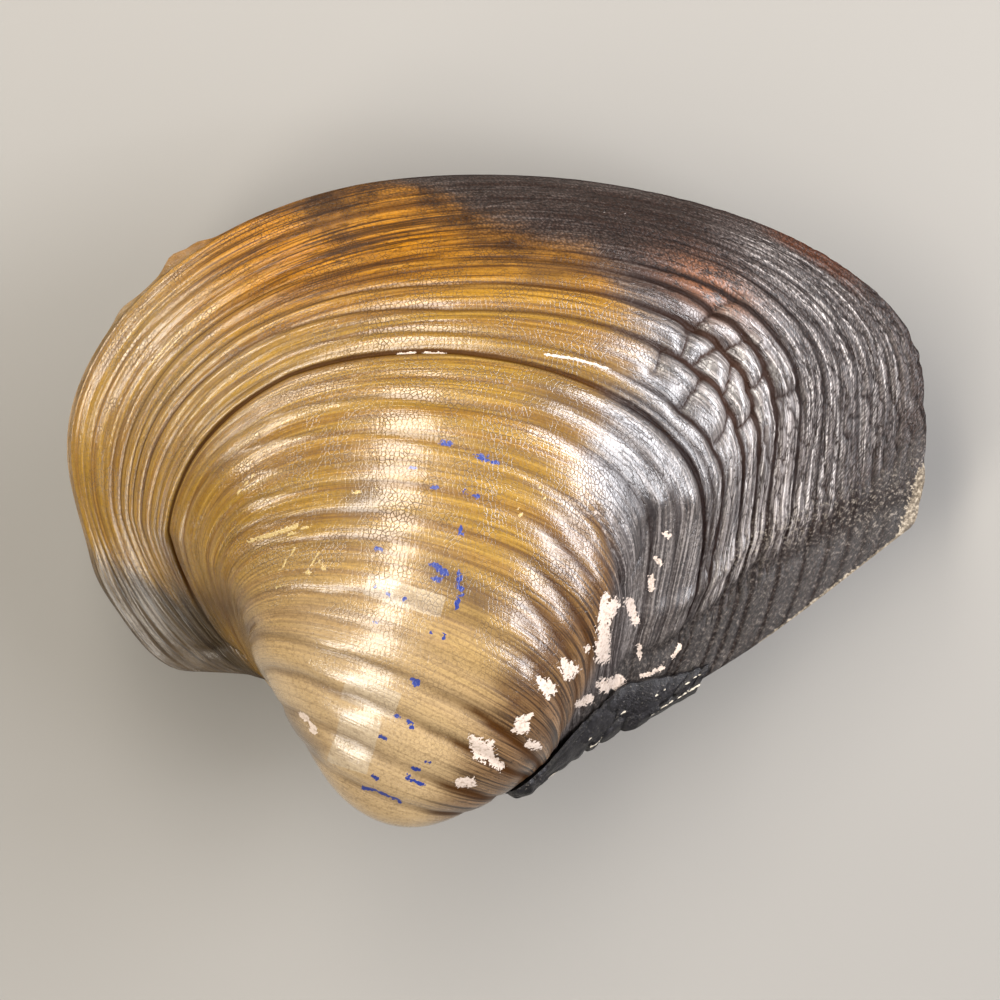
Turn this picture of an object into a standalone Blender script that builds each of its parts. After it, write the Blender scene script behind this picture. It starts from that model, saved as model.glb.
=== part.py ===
"""Swollen river mussel shell: two closed valves and the horny ligament along their hinge.

The shell is first drawn in its own plane, where the valves meet: x runs towards the
posterior end, y towards the ventral edge and w out of the right valve, all in millimetres
from the beak. It is then laid on its left valve, tilted until its weight is over the spot
that it touches the ground with.
"""
import math

import bmesh
import bpy
import numpy as np
from mathutils import Matrix
from mathutils.bvhtree import BVHTree

MM = 0.001

# The shape of one growth line at a few ages, from the beak (0) to the margin (1).
# Each stands on a chord in the hinge plane and leans away from that plane:
#   age, lean and twist in degrees, anterior and posterior end of the chord (x, y),
#   farthest anterior, ventral and posterior point (along the chord, across it),
#   and the roundness of the four arcs between them (2 is an ellipse, less is straighter).
GROWTH_STAGES = (
    (0.000, 145.0, 0, (-0.6, 0.3), (0.8, -0.2), (-0.2, 0.6), (0.7, 2.1), (1.7, 0.6),
     (1.6, 1.9, 2.1, 1.7)),
    (0.055, 126.0, 0, (-4.6, 1.8), (4.4, -1.0), (-1.3, 2.8), (4.6, 8.3), (10.2, 2.5),
     (1.5, 1.9, 2.1, 1.7)),
    (0.111, 110.0, 3, (-7.6, 3.8), (7.1, -1.3), (-1.4, 3.8), (7.1, 10.9), (16.1, 3.4),
     (1.5, 1.9, 2.1, 1.7)),
    (0.168, 98.0, 7, (-10.4, 6.3), (9.8, -0.7), (-1.4, 4.8), (9.6, 13.4), (21.9, 4.2),
     (1.45, 1.9, 2.1, 1.6)),
    (0.222, 88.0, 11, (-12.2, 8.6), (12.5, 0.3), (-1.9, 6.1), (11.3, 15.7), (26.2, 4.8),
     (1.42, 1.9, 2.1, 1.6)),
    (0.280, 79.0, 12, (-13.0, 9.7), (14.5, 1.5), (-3.1, 7.8), (12.2, 17.9), (28.7, 5.4),
     (1.4, 1.9, 2.15, 1.55)),
    (0.360, 64.0, 10, (-13.2, 10.1), (16.3, 2.5), (-4.5, 10.3), (12.4, 21.8), (30.4, 6.7),
     (1.38, 1.9, 2.2, 1.5)),
    (0.425, 53.0, 7, (-13.3, 10.2), (18.0, 3.7), (-5.7, 12.4), (12.7, 25.4), (32.0, 9.2),
     (1.36, 1.9, 2.2, 1.48)),
    (0.509, 42.5, 4, (-13.4, 10.3), (20.3, 5.0), (-7.5, 14.5), (13.7, 29.4), (34.4, 15.2),
     (1.36, 2.0, 2.2, 1.45)),
    (0.629, 29.1, 2, (-13.4, 10.4), (22.4, 6.3), (-10.4, 15.7), (16.3, 35.4), (37.5, 21.5),
     (1.36, 2.1, 2.15, 1.42)),
    (0.712, 22.0, 1, (-13.6, 10.5), (24.7, 7.0), (-12.3, 15.7), (19.7, 38.9), (43.8, 24.1),
     (1.38, 2.1, 2.1, 1.42)),
    (0.812, 14.8, 0, (-14.5, 10.8), (31.6, 10.7), (-12.6, 17.2), (23.6, 42.5), (52.3, 25.8),
     (1.42, 2.15, 2.12, 1.42)),
    (0.897, 8.4, 0, (-15.9, 11.2), (39.3, 15.7), (-12.3, 18.6), (25.7, 44.8), (62.4, 25.1),
     (1.5, 2.12, 2.05, 1.42)),
    (1.000, 0.0, 0, (-21.8, 11.6), (53.5, 26.6), (-8.3, 21.6), (27.3, 46.4), (81.3, 17.3),
     (1.88, 2.02, 1.72, 1.5)),
)
ARC_STEPS = 24                  # points worked out along each of the four arcs of a growth line

BEAK = (0.1, 0.05)              # tip of the beak, as x, y
BEAK_AGES = (0.0, 0.02, 0.045, 0.075)   # growth lines on the smooth beak
NORMAL_STEP = 0.004             # step in age and place to either side for the slope of the surface

# Relief on the outside of a valve: grooves at these ages, with the depth of each in mm.
UMBO_GROOVES = (0.123, 0.184, 0.248, 0.302)
UMBO_DEPTH = 0.30
DISC_GROOVES = (0.345, 0.386, 0.421, 0.450, 0.484, 0.523, 0.552, 0.584, 0.632, 0.669)
DISC_DEPTH = 0.18
ARREST_GROOVE = (0.713,)        # the one dark groove where the shell stopped growing for a season
ARREST_DEPTH = 0.60
OUTER_GROOVES = (0.746, 0.783, 0.820, 0.855, 0.882, 0.908, 0.935, 0.966)
OUTER_DEPTH = 0.22
CREST_SHARE = 0.30              # how far a crest between two grooves stands up, as a share of the depth
SMOOTH_UP_TO = 0.055            # age where the relief begins
FRONT_FADE = 0.16               # share of a growth line over which the relief fades in at the front
BACK_FADE = 0.14                # and out at the back

# Crumpled lumps behind the middle of the shell, on the crests between the first outer grooves.
LUMP_ROWS = tuple((a + b) / 2 for a, b in zip(OUTER_GROOVES[:3], OUTER_GROOVES[1:4]))
LUMP_FIRST = 0.690              # place of the first lump along the growth line, 0 to 1
LUMP_STEP = 0.030
LUMP_STAGGER = 0.35             # each row starts this share of a step behind the one before
LUMPS_PER_ROW = 3
LUMP_HEIGHT = 0.75
LUMP_HALF_AGE = 0.014
LUMP_HALF_PLACE = 0.013

# Columns of the mesh in front of the lumps, across them and behind them.
COLUMNS_FRONT = 20
COLUMNS_LUMPS = 7
COLUMNS_BACK = 7

# Walls and gaps, in mm.
VALVE_GAP = 0.30                # daylight between the two flat rims
RIM_VENTRAL = 1.3               # width of the rim along the free edge
RIM_HINGE = 6.0                 # width of the hinge plate
WALL = 2.4                      # thickness of the shell wall, measured straight down
BOWL_CENTRE = (7.5, 31.0)       # middle of the hollow, as x, y
BOWL_SECTORS = 30
BOWL_RINGS = (0.94, 0.84, 0.66, 0.40)   # rings of the hollow, as shares of the way to the rim
BOWL_SQUARENESS = 8             # exponent of its profile: 2 is an ellipse, more has a flatter floor
HINGE_BEARING = 75              # the hinge plate lies this many degrees clockwise from +x
RAY_START = 100.0               # mm above the valve, where the wall is measured from
LEFT_SHIFT = (-0.35, 0.12)      # the left valve sits a little towards the anterior end

# The ligament lies over the seam behind the beaks, from one age of the hinge edge to another.
LIGAMENT_FROM = 0.19
LIGAMENT_TO = 0.80
LIGAMENT_STEPS = 22
# Share of the way along it, its thickness and how far it reaches onto each valve, in mm.
LIGAMENT_PROFILE = (
    (0.00, 0.50, 2.0), (0.05, 1.45, 3.4), (0.12, 1.35, 3.9), (0.20, 0.95, 4.2), (0.45, 0.90, 4.8),
    (0.68, 0.80, 5.0), (0.86, 0.50, 4.4), (1.00, 0.35, 2.4),
)
LIGAMENT_THIN = 0.35            # thickness at the free edges
LIGAMENT_CLEAR = 0.40           # gap to the valves
SEAM_CLEAR = 0.50               # gap to the hinge edge, over the seam
LIGAMENT_COLUMNS = 3
FIRST_COLUMN = 0.12             # the column next to the seam, as a share of the reach
FREE_EDGE_THICK = 0.3           # share of the thickness at the free edges
LINE_SAMPLES = 40               # points used to measure half a growth line
HINGE_SAMPLES = 200             # points used to measure the hinge edge
SEAM_STEP = 0.01                # step in age to either side for the direction of the hinge edge

# How the shell lies, in degrees, and how much of the left valve's lowest point is rubbed flat.
REST_TILT_X = -8.0
REST_TILT_Y = 5.0
RUB_DEPTH = 0.35

# Mean colour and roughness of each piece.
RIGHT_SKIN = ("right_horn_skin", (0.42, 0.25, 0.08), 0.35)
LEFT_SKIN = ("left_horn_skin", (0.36, 0.22, 0.09), 0.40)
DARK_HORN = ("dark_horn", (0.022, 0.019, 0.020), 0.45)


def smooth_rows(ages):
    """Every number of the growth stages at the given ages, on smooth curves."""
    known = np.array([stage[0] for stage in GROWTH_STAGES])
    values = np.array([[s[1], s[2], *s[3], *s[4], *s[5], *s[6], *s[7], *s[8]] for s in GROWTH_STAGES], float)
    step = np.diff(known)[:, None]
    slope = np.diff(values, axis=0) / step
    tangent = np.empty_like(values)
    tangent[0], tangent[-1] = slope[0], slope[-1]
    tangent[1:-1] = (slope[:-1] * step[1:] + slope[1:] * step[:-1]) / (step[1:] + step[:-1])
    index = np.clip(np.searchsorted(known, ages, side="right") - 1, 0, len(known) - 2)
    u = ((ages - known[index]) / step[index, 0])[:, None]
    width = step[index]
    return ((2 * u**3 - 3 * u**2 + 1) * values[index] + (u**3 - 2 * u**2 + u) * width * tangent[index]
            + (3 * u**2 - 2 * u**3) * values[index + 1] + (u**3 - u**2) * width * tangent[index + 1])


def growth_line(row, places):
    """Points of one growth line at even places along it, 0 anterior to 1 posterior."""
    lean, twist, ax, ay, bx, by, la, lb, ta, tb, ra, rb, n1, n2, n3, n4 = row
    chord = math.hypot(bx - ax, by - ay)
    along = np.array([bx - ax, by - ay]) / chord
    across = np.array([-along[1], along[0]])
    angle = np.linspace(0, math.pi / 2, ARC_STEPS)
    sine, cosine = np.sin(angle), np.clip(np.cos(angle), 0, 1)
    arcs = [
        (la * sine**(2 / n1), lb * (1 - cosine**(2 / n1))),
        (ta - (ta - la) * cosine**(2 / n2), lb + (tb - lb) * sine**(2 / n2)),
        (ta + (ra - ta) * sine**(2 / n3), rb + (tb - rb) * cosine**(2 / n3)),
        (chord + (ra - chord) * cosine**(2 / n4), rb * (1 - sine**(2 / n4))),
    ]
    a = np.concatenate([arc[0] for arc in arcs])
    b = np.concatenate([arc[1] for arc in arcs])
    run = np.concatenate([[0], np.cumsum(np.hypot(np.diff(a), np.diff(b)) + 1e-9)])
    run /= run[-1]
    a, b = np.interp(places, run, a), np.interp(places, run, b)
    tilt = np.radians(lean + twist * (2 * places - 1))
    flat = b * np.cos(tilt)
    return np.stack([ax + a * along[0] + flat * across[0], ay + a * along[1] + flat * across[1],
                     b * np.sin(tilt)], axis=1)


def smooth_valve(ages, places):
    """The outside of the right valve without its relief, as a grid of points."""
    return np.array([growth_line(row, places) for row in smooth_rows(np.asarray(ages))])


def outward(ages, places):
    """Unit normals of the smooth valve on the same grid."""
    ages, places = np.asarray(ages), np.asarray(places)
    e = NORMAL_STEP
    by_age = smooth_valve(np.minimum(ages + e, 1), places) - smooth_valve(np.maximum(ages - e, 0), places)
    by_place = smooth_valve(ages, np.minimum(places + e, 1)) - smooth_valve(ages, np.maximum(places - e, 0))
    normal = np.cross(by_age, by_place)
    return -normal / (np.linalg.norm(normal, axis=2, keepdims=True) + 1e-9)


def groove_table():
    """(age, depth) of every groove, from the beak outwards."""
    groups = ((UMBO_GROOVES, UMBO_DEPTH), (DISC_GROOVES, DISC_DEPTH),
              (ARREST_GROOVE, ARREST_DEPTH), (OUTER_GROOVES, OUTER_DEPTH))
    return [(age, depth) for ages, depth in groups for age in ages]


def relief(ages, places):
    """Height of the relief in mm on a grid: grooves, the crests between them and the lumps."""
    grooves = groove_table()
    marks, heights = [0.0, SMOOTH_UP_TO], [0.0, 0.0]
    for (age, depth), (after, after_depth) in zip(grooves, grooves[1:] + [(1.0, 0.0)]):
        marks += [age, (age + after) / 2]
        heights += [-depth, CREST_SHARE * min(depth, after_depth or depth)]
    marks.append(1.0)
    heights.append(0.0)
    by_age = np.interp(ages, marks, heights)[:, None]
    fade = np.clip(places / FRONT_FADE, 0, 1) * np.clip((1 - places) / BACK_FADE, 0, 1)
    height = by_age * (fade * fade * (3 - 2 * fade))[None, :]
    for number, row in enumerate(LUMP_ROWS):
        for lump in range(LUMPS_PER_ROW):
            centre = LUMP_FIRST + LUMP_STEP * (lump + LUMP_STAGGER * number)
            by_age = ((ages[:, None] - row) / LUMP_HALF_AGE)**2
            by_place = ((places[None, :] - centre) / LUMP_HALF_PLACE)**2
            height = height + LUMP_HEIGHT * np.exp(-by_age - by_place)
    return height


def grid_ages():
    """Ages of the mesh rows: a few on the beak, then one on each groove and each crest."""
    grooves = [age for age, _ in groove_table()] + [1.0]
    crests = [(a + b) / 2 for a, b in zip(grooves, grooves[1:])]
    return np.array(sorted([*BEAK_AGES] + grooves + crests))


def grid_places():
    """Places of the mesh columns: even, and closer together across the lumps."""
    start = LUMP_FIRST - LUMP_STEP / 2
    end = start + LUMP_STEP * (LUMPS_PER_ROW + 2 * LUMP_STAGGER)
    front = np.linspace(0, start, COLUMNS_FRONT + 1)
    across = np.linspace(start, end, COLUMNS_LUMPS + 1)[1:]
    back = np.linspace(end, 1, COLUMNS_BACK + 1)[1:]
    return np.concatenate([front, across, back])


def ring_faces(bm, inner, outer):
    """Quads between two closed rings of vertices."""
    count = len(inner)
    for k in range(count):
        j = (k + 1) % count
        bm.faces.new((inner[k], outer[k], outer[j], inner[j]))


def boundary_reach(boundary, angle):
    """Distance from the bowl's centre to the valve's edge in one direction."""
    direction = np.array([math.cos(angle), math.sin(angle)])
    start = boundary - np.array(BOWL_CENTRE)
    end = np.roll(start, -1, axis=0)
    side_a = start[:, 0] * direction[1] - start[:, 1] * direction[0]
    side_b = end[:, 0] * direction[1] - end[:, 1] * direction[0]
    crosses = np.nonzero(side_a * side_b < 0)[0]
    share = side_a[crosses] / (side_a[crosses] - side_b[crosses])
    hits = start[crosses] + (end[crosses] - start[crosses]) * share[:, None]
    reach = hits @ direction
    return float(reach[reach > 0].min())


def valve_mesh(name):
    """One valve, drawn as the right one: relief outside, a flat rim and a hollow bowl inside."""
    ages, places = grid_ages(), grid_places()
    points = smooth_valve(ages, places) + relief(ages, places)[..., None] * outward(ages, places)
    points[..., 2] = np.maximum(points[..., 2], 0) + VALVE_GAP / 2
    points[:, [0, -1], 2] = VALVE_GAP / 2
    points[-1, :, 2] = VALVE_GAP / 2

    bm = bmesh.new()
    beak = bm.verts.new((*BEAK, VALVE_GAP / 2))
    rows = [[bm.verts.new(point) for point in row] for row in points[1:]]
    for left, right in zip(rows[0], rows[0][1:]):
        bm.faces.new((beak, right, left))
    for lower, upper in zip(rows, rows[1:]):
        for k in range(len(lower) - 1):
            bm.faces.new((lower[k], lower[k + 1], upper[k + 1], upper[k]))
    bmesh.ops.triangulate(bm, faces=bm.faces[:])
    tree = BVHTree.FromBMesh(bm)

    edge = [beak] + [row[0] for row in rows] + rows[-1][1:] + [row[-1] for row in rows[-2::-1]]
    boundary = np.array([vert.co.xy for vert in edge])
    rim = bowl(bm, tree, boundary)
    outline = [bm.edges.get((a, b)) for a, b in zip(edge, edge[1:] + edge[:1])]
    loop = [bm.edges.get((a, b)) for a, b in zip(rim, rim[1:] + rim[:1])]
    bmesh.ops.triangle_fill(bm, use_beauty=True, use_dissolve=False, edges=outline + loop)
    bmesh.ops.triangulate(bm, faces=bm.faces[:])
    bmesh.ops.recalc_face_normals(bm, faces=bm.faces[:])
    mesh = bpy.data.meshes.new(name)
    bm.to_mesh(mesh)
    bm.free()
    return mesh


def bowl(bm, tree, boundary):
    """The hollow side of a valve, as rings of points under the outside. Returns the outer ring."""
    angles = np.linspace(0, 2 * math.pi, BOWL_SECTORS, endpoint=False)
    rings = []
    for share in (1.0,) + BOWL_RINGS:
        ring = []
        for angle in angles:
            hinge_side = max(0.0, math.cos(angle + math.radians(HINGE_BEARING)))
            rim_width = RIM_VENTRAL + (RIM_HINGE - RIM_VENTRAL) * hinge_side
            reach = (boundary_reach(boundary, angle) - rim_width) * share
            ring.append(bowl_point(bm, tree, reach * math.cos(angle), reach * math.sin(angle), share))
        rings.append(ring)
    for outer, inner in zip(rings, rings[1:]):
        ring_faces(bm, inner, outer)
    middle = bowl_point(bm, tree, 0, 0, 0)
    for a, b in zip(rings[-1], rings[-1][1:] + rings[-1][:1]):
        bm.faces.new((middle, a, b))
    return rings[0]


def bowl_point(bm, tree, dx, dy, share):
    """One point of the hollow side, a wall's thickness below the outside."""
    x, y = BOWL_CENTRE[0] + dx, BOWL_CENTRE[1] + dy
    height = VALVE_GAP / 2
    if share < 1:
        above = tree.ray_cast((x, y, RAY_START), (0, 0, -1))[0].z
        room = max(0.0, above - WALL - height)
        height += room * math.sqrt(1 - share**BOWL_SQUARENESS)
    return bm.verts.new((x, y, height))


def ligament_mesh(name):
    """A leathery band over the seam, lying on both valves behind the beaks."""
    span = np.linspace(LIGAMENT_FROM, LIGAMENT_TO, HINGE_SAMPLES)
    hinge = smooth_valve(span, np.array([1.0]))[:, 0, :2]
    run = np.concatenate([[0], np.cumsum(np.linalg.norm(np.diff(hinge, axis=0), axis=1))])
    ages = np.interp(np.linspace(0, run[-1], LIGAMENT_STEPS + 1), run, span)
    share, thickness, reaches = np.array(LIGAMENT_PROFILE).T
    under, over = [], []
    for number, age in enumerate(ages):
        along = number / LIGAMENT_STEPS
        thick = np.interp(along, share, thickness)
        below, above = ligament_section(age, np.interp(along, share, reaches), thick)
        under.append(below)
        over.append(above)
    return band_solid(name, np.array(under), np.array(over))


def ligament_section(age, reach, thick):
    """Points under and over the band at one age: right valve, seam, left valve."""
    row = smooth_rows(np.array([age]))[0]
    line = growth_line(row, np.linspace(0.5, 1, LINE_SAMPLES))
    length = 2 * np.linalg.norm(np.diff(line, axis=0), axis=1).sum()
    places = 1 - reach / length * np.linspace(1, FIRST_COLUMN, LIGAMENT_COLUMNS)
    wall = smooth_valve([age], places)[0]
    normal = outward([age], places)[0]
    wall[:, 2] += VALVE_GAP / 2
    ends = smooth_valve([age - SEAM_STEP, age + SEAM_STEP], np.array([1.0]))[:, 0, :2]
    edge_run = (ends[1] - ends[0]) / np.linalg.norm(ends[1] - ends[0])
    away = np.array([edge_run[1], -edge_run[0], 0.0])
    seam = smooth_valve([age], np.array([1.0]))[0, 0]
    seam[2] = 0
    share = np.linspace(FREE_EDGE_THICK, 1, LIGAMENT_COLUMNS)[:, None]
    below = wall + LIGAMENT_CLEAR * normal
    above = wall + (LIGAMENT_CLEAR + LIGAMENT_THIN + (thick - LIGAMENT_THIN) * share) * normal
    shift = np.array([*LEFT_SHIFT, 0.0])
    mirror = np.array([1.0, 1.0, -1.0])
    seam_below = seam + SEAM_CLEAR * away + shift / 2
    seam_above = seam + (SEAM_CLEAR + thick) * away + shift / 2
    return (np.vstack([below, seam_below, (below * mirror + shift)[::-1]]),
            np.vstack([above, seam_above, (above * mirror + shift)[::-1]]))


def band_solid(name, under, over):
    """A closed solid between two grids of points of the same size."""
    bm = bmesh.new()
    low = [[bm.verts.new(point) for point in row] for row in under]
    high = [[bm.verts.new(point) for point in row] for row in over]
    count, width = len(low), len(low[0])
    for i in range(count - 1):
        for k in range(width - 1):
            bm.faces.new((low[i][k], low[i][k + 1], low[i + 1][k + 1], low[i + 1][k]))
            bm.faces.new((high[i][k], high[i + 1][k], high[i + 1][k + 1], high[i][k + 1]))
        for k in (0, width - 1):
            bm.faces.new((low[i][k], low[i + 1][k], high[i + 1][k], high[i][k]))
    for i in (0, count - 1):
        for k in range(width - 1):
            bm.faces.new((low[i][k], low[i][k + 1], high[i][k + 1], high[i][k]))
    bmesh.ops.triangulate(bm, faces=bm.faces[:])
    bmesh.ops.recalc_face_normals(bm, faces=bm.faces[:])
    mesh = bpy.data.meshes.new(name)
    bm.to_mesh(mesh)
    bm.free()
    return mesh


def material(name, colour, roughness):
    """A plain non-metal material with the piece's mean colour."""
    made = bpy.data.materials.new(name)
    made.use_nodes = True
    shader = made.node_tree.nodes["Principled BSDF"]
    shader.inputs["Base Color"].default_value = (*colour, 1)
    shader.inputs["Roughness"].default_value = roughness
    shader.inputs["Metallic"].default_value = 0
    return made


def piece(name, mesh, look):
    """Link a mesh to the scene as a named object."""
    made = bpy.data.objects.new(name, mesh)
    bpy.context.collection.objects.link(made)
    mesh.materials.append(look)
    return made


def lay_down(pieces):
    """Turn the shell onto its left valve, rub its lowest spot flat and set the origin below its middle."""
    turn = (Matrix.Rotation(math.radians(REST_TILT_X), 4, "X")
            @ Matrix.Rotation(math.radians(REST_TILT_Y), 4, "Y") @ Matrix.Scale(MM, 4))
    for made in pieces:
        made.data.transform(turn)
    floor = min(vert.co.z for made in pieces for vert in made.data.vertices) + RUB_DEPTH * MM
    for made in pieces:
        for vert in made.data.vertices:
            vert.co.z = max(vert.co.z, floor)
    spread = [[vert.co[k] for made in pieces for vert in made.data.vertices] for k in (0, 1)]
    middle = [(min(values) + max(values)) / 2 for values in spread]
    for made in pieces:
        made.data.transform(Matrix.Translation((-middle[0], -middle[1], -floor)))


def main():
    for old in list(bpy.data.objects):
        bpy.data.objects.remove(old, do_unlink=True)
    right = piece("right_valve", valve_mesh("right_valve"), material(*RIGHT_SKIN))
    left = piece("left_valve", valve_mesh("left_valve"), material(*LEFT_SKIN))
    left.data.transform(Matrix.Translation((*LEFT_SHIFT, 0)) @ Matrix.Diagonal((1, 1, -1, 1)))
    left.data.flip_normals()
    band = piece("ligament", ligament_mesh("ligament"), material(*DARK_HORN))
    lay_down([right, left, band])


main()
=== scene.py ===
# %% [markdown]
# # A swollen river mussel shell
# Two thick valves lie closed on each other, joined along the back by a strip of black
# horn, the ligament. The valves carry a brown skin over layers of chalk, folded into
# ridges where the animal stopped and started growing. Everything here is worked out from
# one idea: each point of a valve has an age, 0 at the beak and 1 at the free edge, and a
# place along its growth line, 0 at the front end and 1 at the back end.

import math

import bmesh
import bpy
import numpy as np
from mathutils import Matrix, Vector
from mathutils.bvhtree import BVHTree


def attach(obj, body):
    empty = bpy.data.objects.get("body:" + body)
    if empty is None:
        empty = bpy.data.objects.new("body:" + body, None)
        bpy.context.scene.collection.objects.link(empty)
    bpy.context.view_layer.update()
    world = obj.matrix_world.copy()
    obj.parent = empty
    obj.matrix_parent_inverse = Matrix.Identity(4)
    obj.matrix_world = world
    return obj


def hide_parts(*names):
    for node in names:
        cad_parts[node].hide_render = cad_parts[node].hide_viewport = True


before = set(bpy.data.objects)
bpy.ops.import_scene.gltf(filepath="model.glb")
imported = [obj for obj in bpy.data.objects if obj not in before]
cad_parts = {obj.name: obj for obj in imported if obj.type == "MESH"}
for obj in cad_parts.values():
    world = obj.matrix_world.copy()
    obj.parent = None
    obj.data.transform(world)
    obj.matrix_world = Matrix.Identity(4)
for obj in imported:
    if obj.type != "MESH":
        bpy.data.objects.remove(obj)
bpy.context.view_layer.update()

# %% [markdown]
# ## The growth lines
# A shell grows only at its edge, so every fold, colour band and crack follows an old edge.
# The table gives that edge at fourteen ages, in millimetres from the beak. Between them the
# numbers run on smooth curves. A sculpted blob could copy the outline, but only lines of
# growth give ridges that crowd together at the ends the way the real ones do.

# %% The table of growth stages
# age, lean and twist in degrees, front and back end of the chord (x, y),
# farthest front, lower and back point (along the chord, across it), roundness of four arcs
GROWTH_STAGES = (
    (0.000, 145.0, 0, (-0.6, 0.3), (0.8, -0.2), (-0.2, 0.6), (0.7, 2.1), (1.7, 0.6),
     (1.6, 1.9, 2.1, 1.7)),
    (0.055, 126.0, 0, (-4.6, 1.8), (4.4, -1.0), (-1.3, 2.8), (4.6, 8.3), (10.2, 2.5),
     (1.5, 1.9, 2.1, 1.7)),
    (0.111, 110.0, 3, (-7.6, 3.8), (7.1, -1.3), (-1.4, 3.8), (7.1, 10.9), (16.1, 3.4),
     (1.5, 1.9, 2.1, 1.7)),
    (0.168, 98.0, 7, (-10.4, 6.3), (9.8, -0.7), (-1.4, 4.8), (9.6, 13.4), (21.9, 4.2),
     (1.45, 1.9, 2.1, 1.6)),
    (0.222, 88.0, 11, (-12.2, 8.6), (12.5, 0.3), (-1.9, 6.1), (11.3, 15.7), (26.2, 4.8),
     (1.42, 1.9, 2.1, 1.6)),
    (0.280, 79.0, 12, (-13.0, 9.7), (14.5, 1.5), (-3.1, 7.8), (12.2, 17.9), (28.7, 5.4),
     (1.4, 1.9, 2.15, 1.55)),
    (0.360, 64.0, 10, (-13.2, 10.1), (16.3, 2.5), (-4.5, 10.3), (12.4, 21.8), (30.4, 6.7),
     (1.38, 1.9, 2.2, 1.5)),
    (0.425, 53.0, 7, (-13.3, 10.2), (18.0, 3.7), (-5.7, 12.4), (12.7, 25.4), (32.0, 9.2),
     (1.36, 1.9, 2.2, 1.48)),
    (0.509, 42.5, 4, (-13.4, 10.3), (20.3, 5.0), (-7.5, 14.5), (13.7, 29.4), (34.4, 15.2),
     (1.36, 2.0, 2.2, 1.45)),
    (0.629, 29.1, 2, (-13.4, 10.4), (22.4, 6.3), (-10.4, 15.7), (16.3, 35.4), (37.5, 21.5),
     (1.36, 2.1, 2.15, 1.42)),
    (0.712, 22.0, 1, (-13.6, 10.5), (24.7, 7.0), (-12.3, 15.7), (19.7, 38.9), (43.8, 24.1),
     (1.38, 2.1, 2.1, 1.42)),
    (0.812, 14.8, 0, (-14.5, 10.8), (31.6, 10.7), (-12.6, 17.2), (23.6, 42.5), (52.3, 25.8),
     (1.42, 2.15, 2.12, 1.42)),
    (0.897, 8.4, 0, (-15.9, 11.2), (39.3, 15.7), (-12.3, 18.6), (25.7, 44.8), (62.4, 25.1),
     (1.5, 2.12, 2.05, 1.42)),
    (1.000, 0.0, 0, (-21.8, 11.6), (53.5, 26.6), (-8.3, 21.6), (27.3, 46.4), (81.3, 17.3),
     (1.88, 2.02, 1.72, 1.5)),
)
ARC_STEPS = 40


def smooth_rows(ages):
    """Every number of the growth stages at the given ages, on smooth curves."""
    known = np.array([stage[0] for stage in GROWTH_STAGES])
    values = np.array([np.hstack(stage[1:]) for stage in GROWTH_STAGES], float)
    step = np.diff(known)[:, None]
    slope = np.diff(values, axis=0) / step
    tangent = np.empty_like(values)
    tangent[0], tangent[-1] = slope[0], slope[-1]
    tangent[1:-1] = (slope[:-1] * step[1:] + slope[1:] * step[:-1]) / (step[1:] + step[:-1])
    index = np.clip(np.searchsorted(known, ages, side="right") - 1, 0, len(known) - 2)
    u = ((ages - known[index]) / step[index, 0])[:, None]
    width = step[index]
    return ((2 * u**3 - 3 * u**2 + 1) * values[index]
            + (u**3 - 2 * u**2 + u) * width * tangent[index]
            + (3 * u**2 - 2 * u**3) * values[index + 1]
            + (u**3 - u**2) * width * tangent[index + 1])


def growth_line(row, places):
    """Points of one growth line at even places along it."""
    lean, twist, ax, ay, bx, by, la, lb, ta, tb, ra, rb, n1, n2, n3, n4 = row
    chord = math.hypot(bx - ax, by - ay)
    run_x, run_y = (bx - ax) / chord, (by - ay) / chord
    angle = np.linspace(0, math.pi / 2, ARC_STEPS)
    sine, cosine = np.sin(angle), np.clip(np.cos(angle), 0, 1)
    a = np.concatenate([la * sine**(2 / n1), ta - (ta - la) * cosine**(2 / n2),
                        ta + (ra - ta) * sine**(2 / n3), chord + (ra - chord) * cosine**(2 / n4)])
    b = np.concatenate([lb * (1 - cosine**(2 / n1)), lb + (tb - lb) * sine**(2 / n2),
                        rb + (tb - rb) * cosine**(2 / n3), rb * (1 - sine**(2 / n4))])
    run = np.concatenate([[0], np.cumsum(np.hypot(np.diff(a), np.diff(b)) + 1e-9)])
    a, b = np.interp(places, run / run[-1], a), np.interp(places, run / run[-1], b)
    tilt = np.radians(lean + twist * (2 * places - 1))
    flat = b * np.cos(tilt)
    return np.stack([ax + a * run_x - flat * run_y, ay + a * run_y + flat * run_x,
                     b * np.sin(tilt)], axis=1)


def smooth_valve(ages, places):
    """The outside of the right valve without its folds, as a grid of points in mm."""
    return np.array([growth_line(row, places) for row in smooth_rows(np.asarray(ages))])


def outward(ages, places, reach=0.004):
    """Unit normals of the smooth valve on the same grid."""
    by_age = (smooth_valve(np.minimum(ages + reach, 1), places)
              - smooth_valve(np.maximum(ages - reach, 0), places))
    by_place = (smooth_valve(ages, np.minimum(places + reach, 1))
                - smooth_valve(ages, np.maximum(places - reach, 0)))
    normal = np.cross(by_place, by_age)
    return normal / (np.linalg.norm(normal, axis=2, keepdims=True) + 1e-9)


# %% The grid of ages and places, closer together where the folds are finest
def spaced(*runs):
    """Numbers from run to run, each (end, how many steps), starting at 0."""
    values, start = [0.0], 0.0
    for end, steps in runs:
        values += list(np.linspace(start, end, steps + 1)[1:])
        start = end
    return np.array(values)


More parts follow.
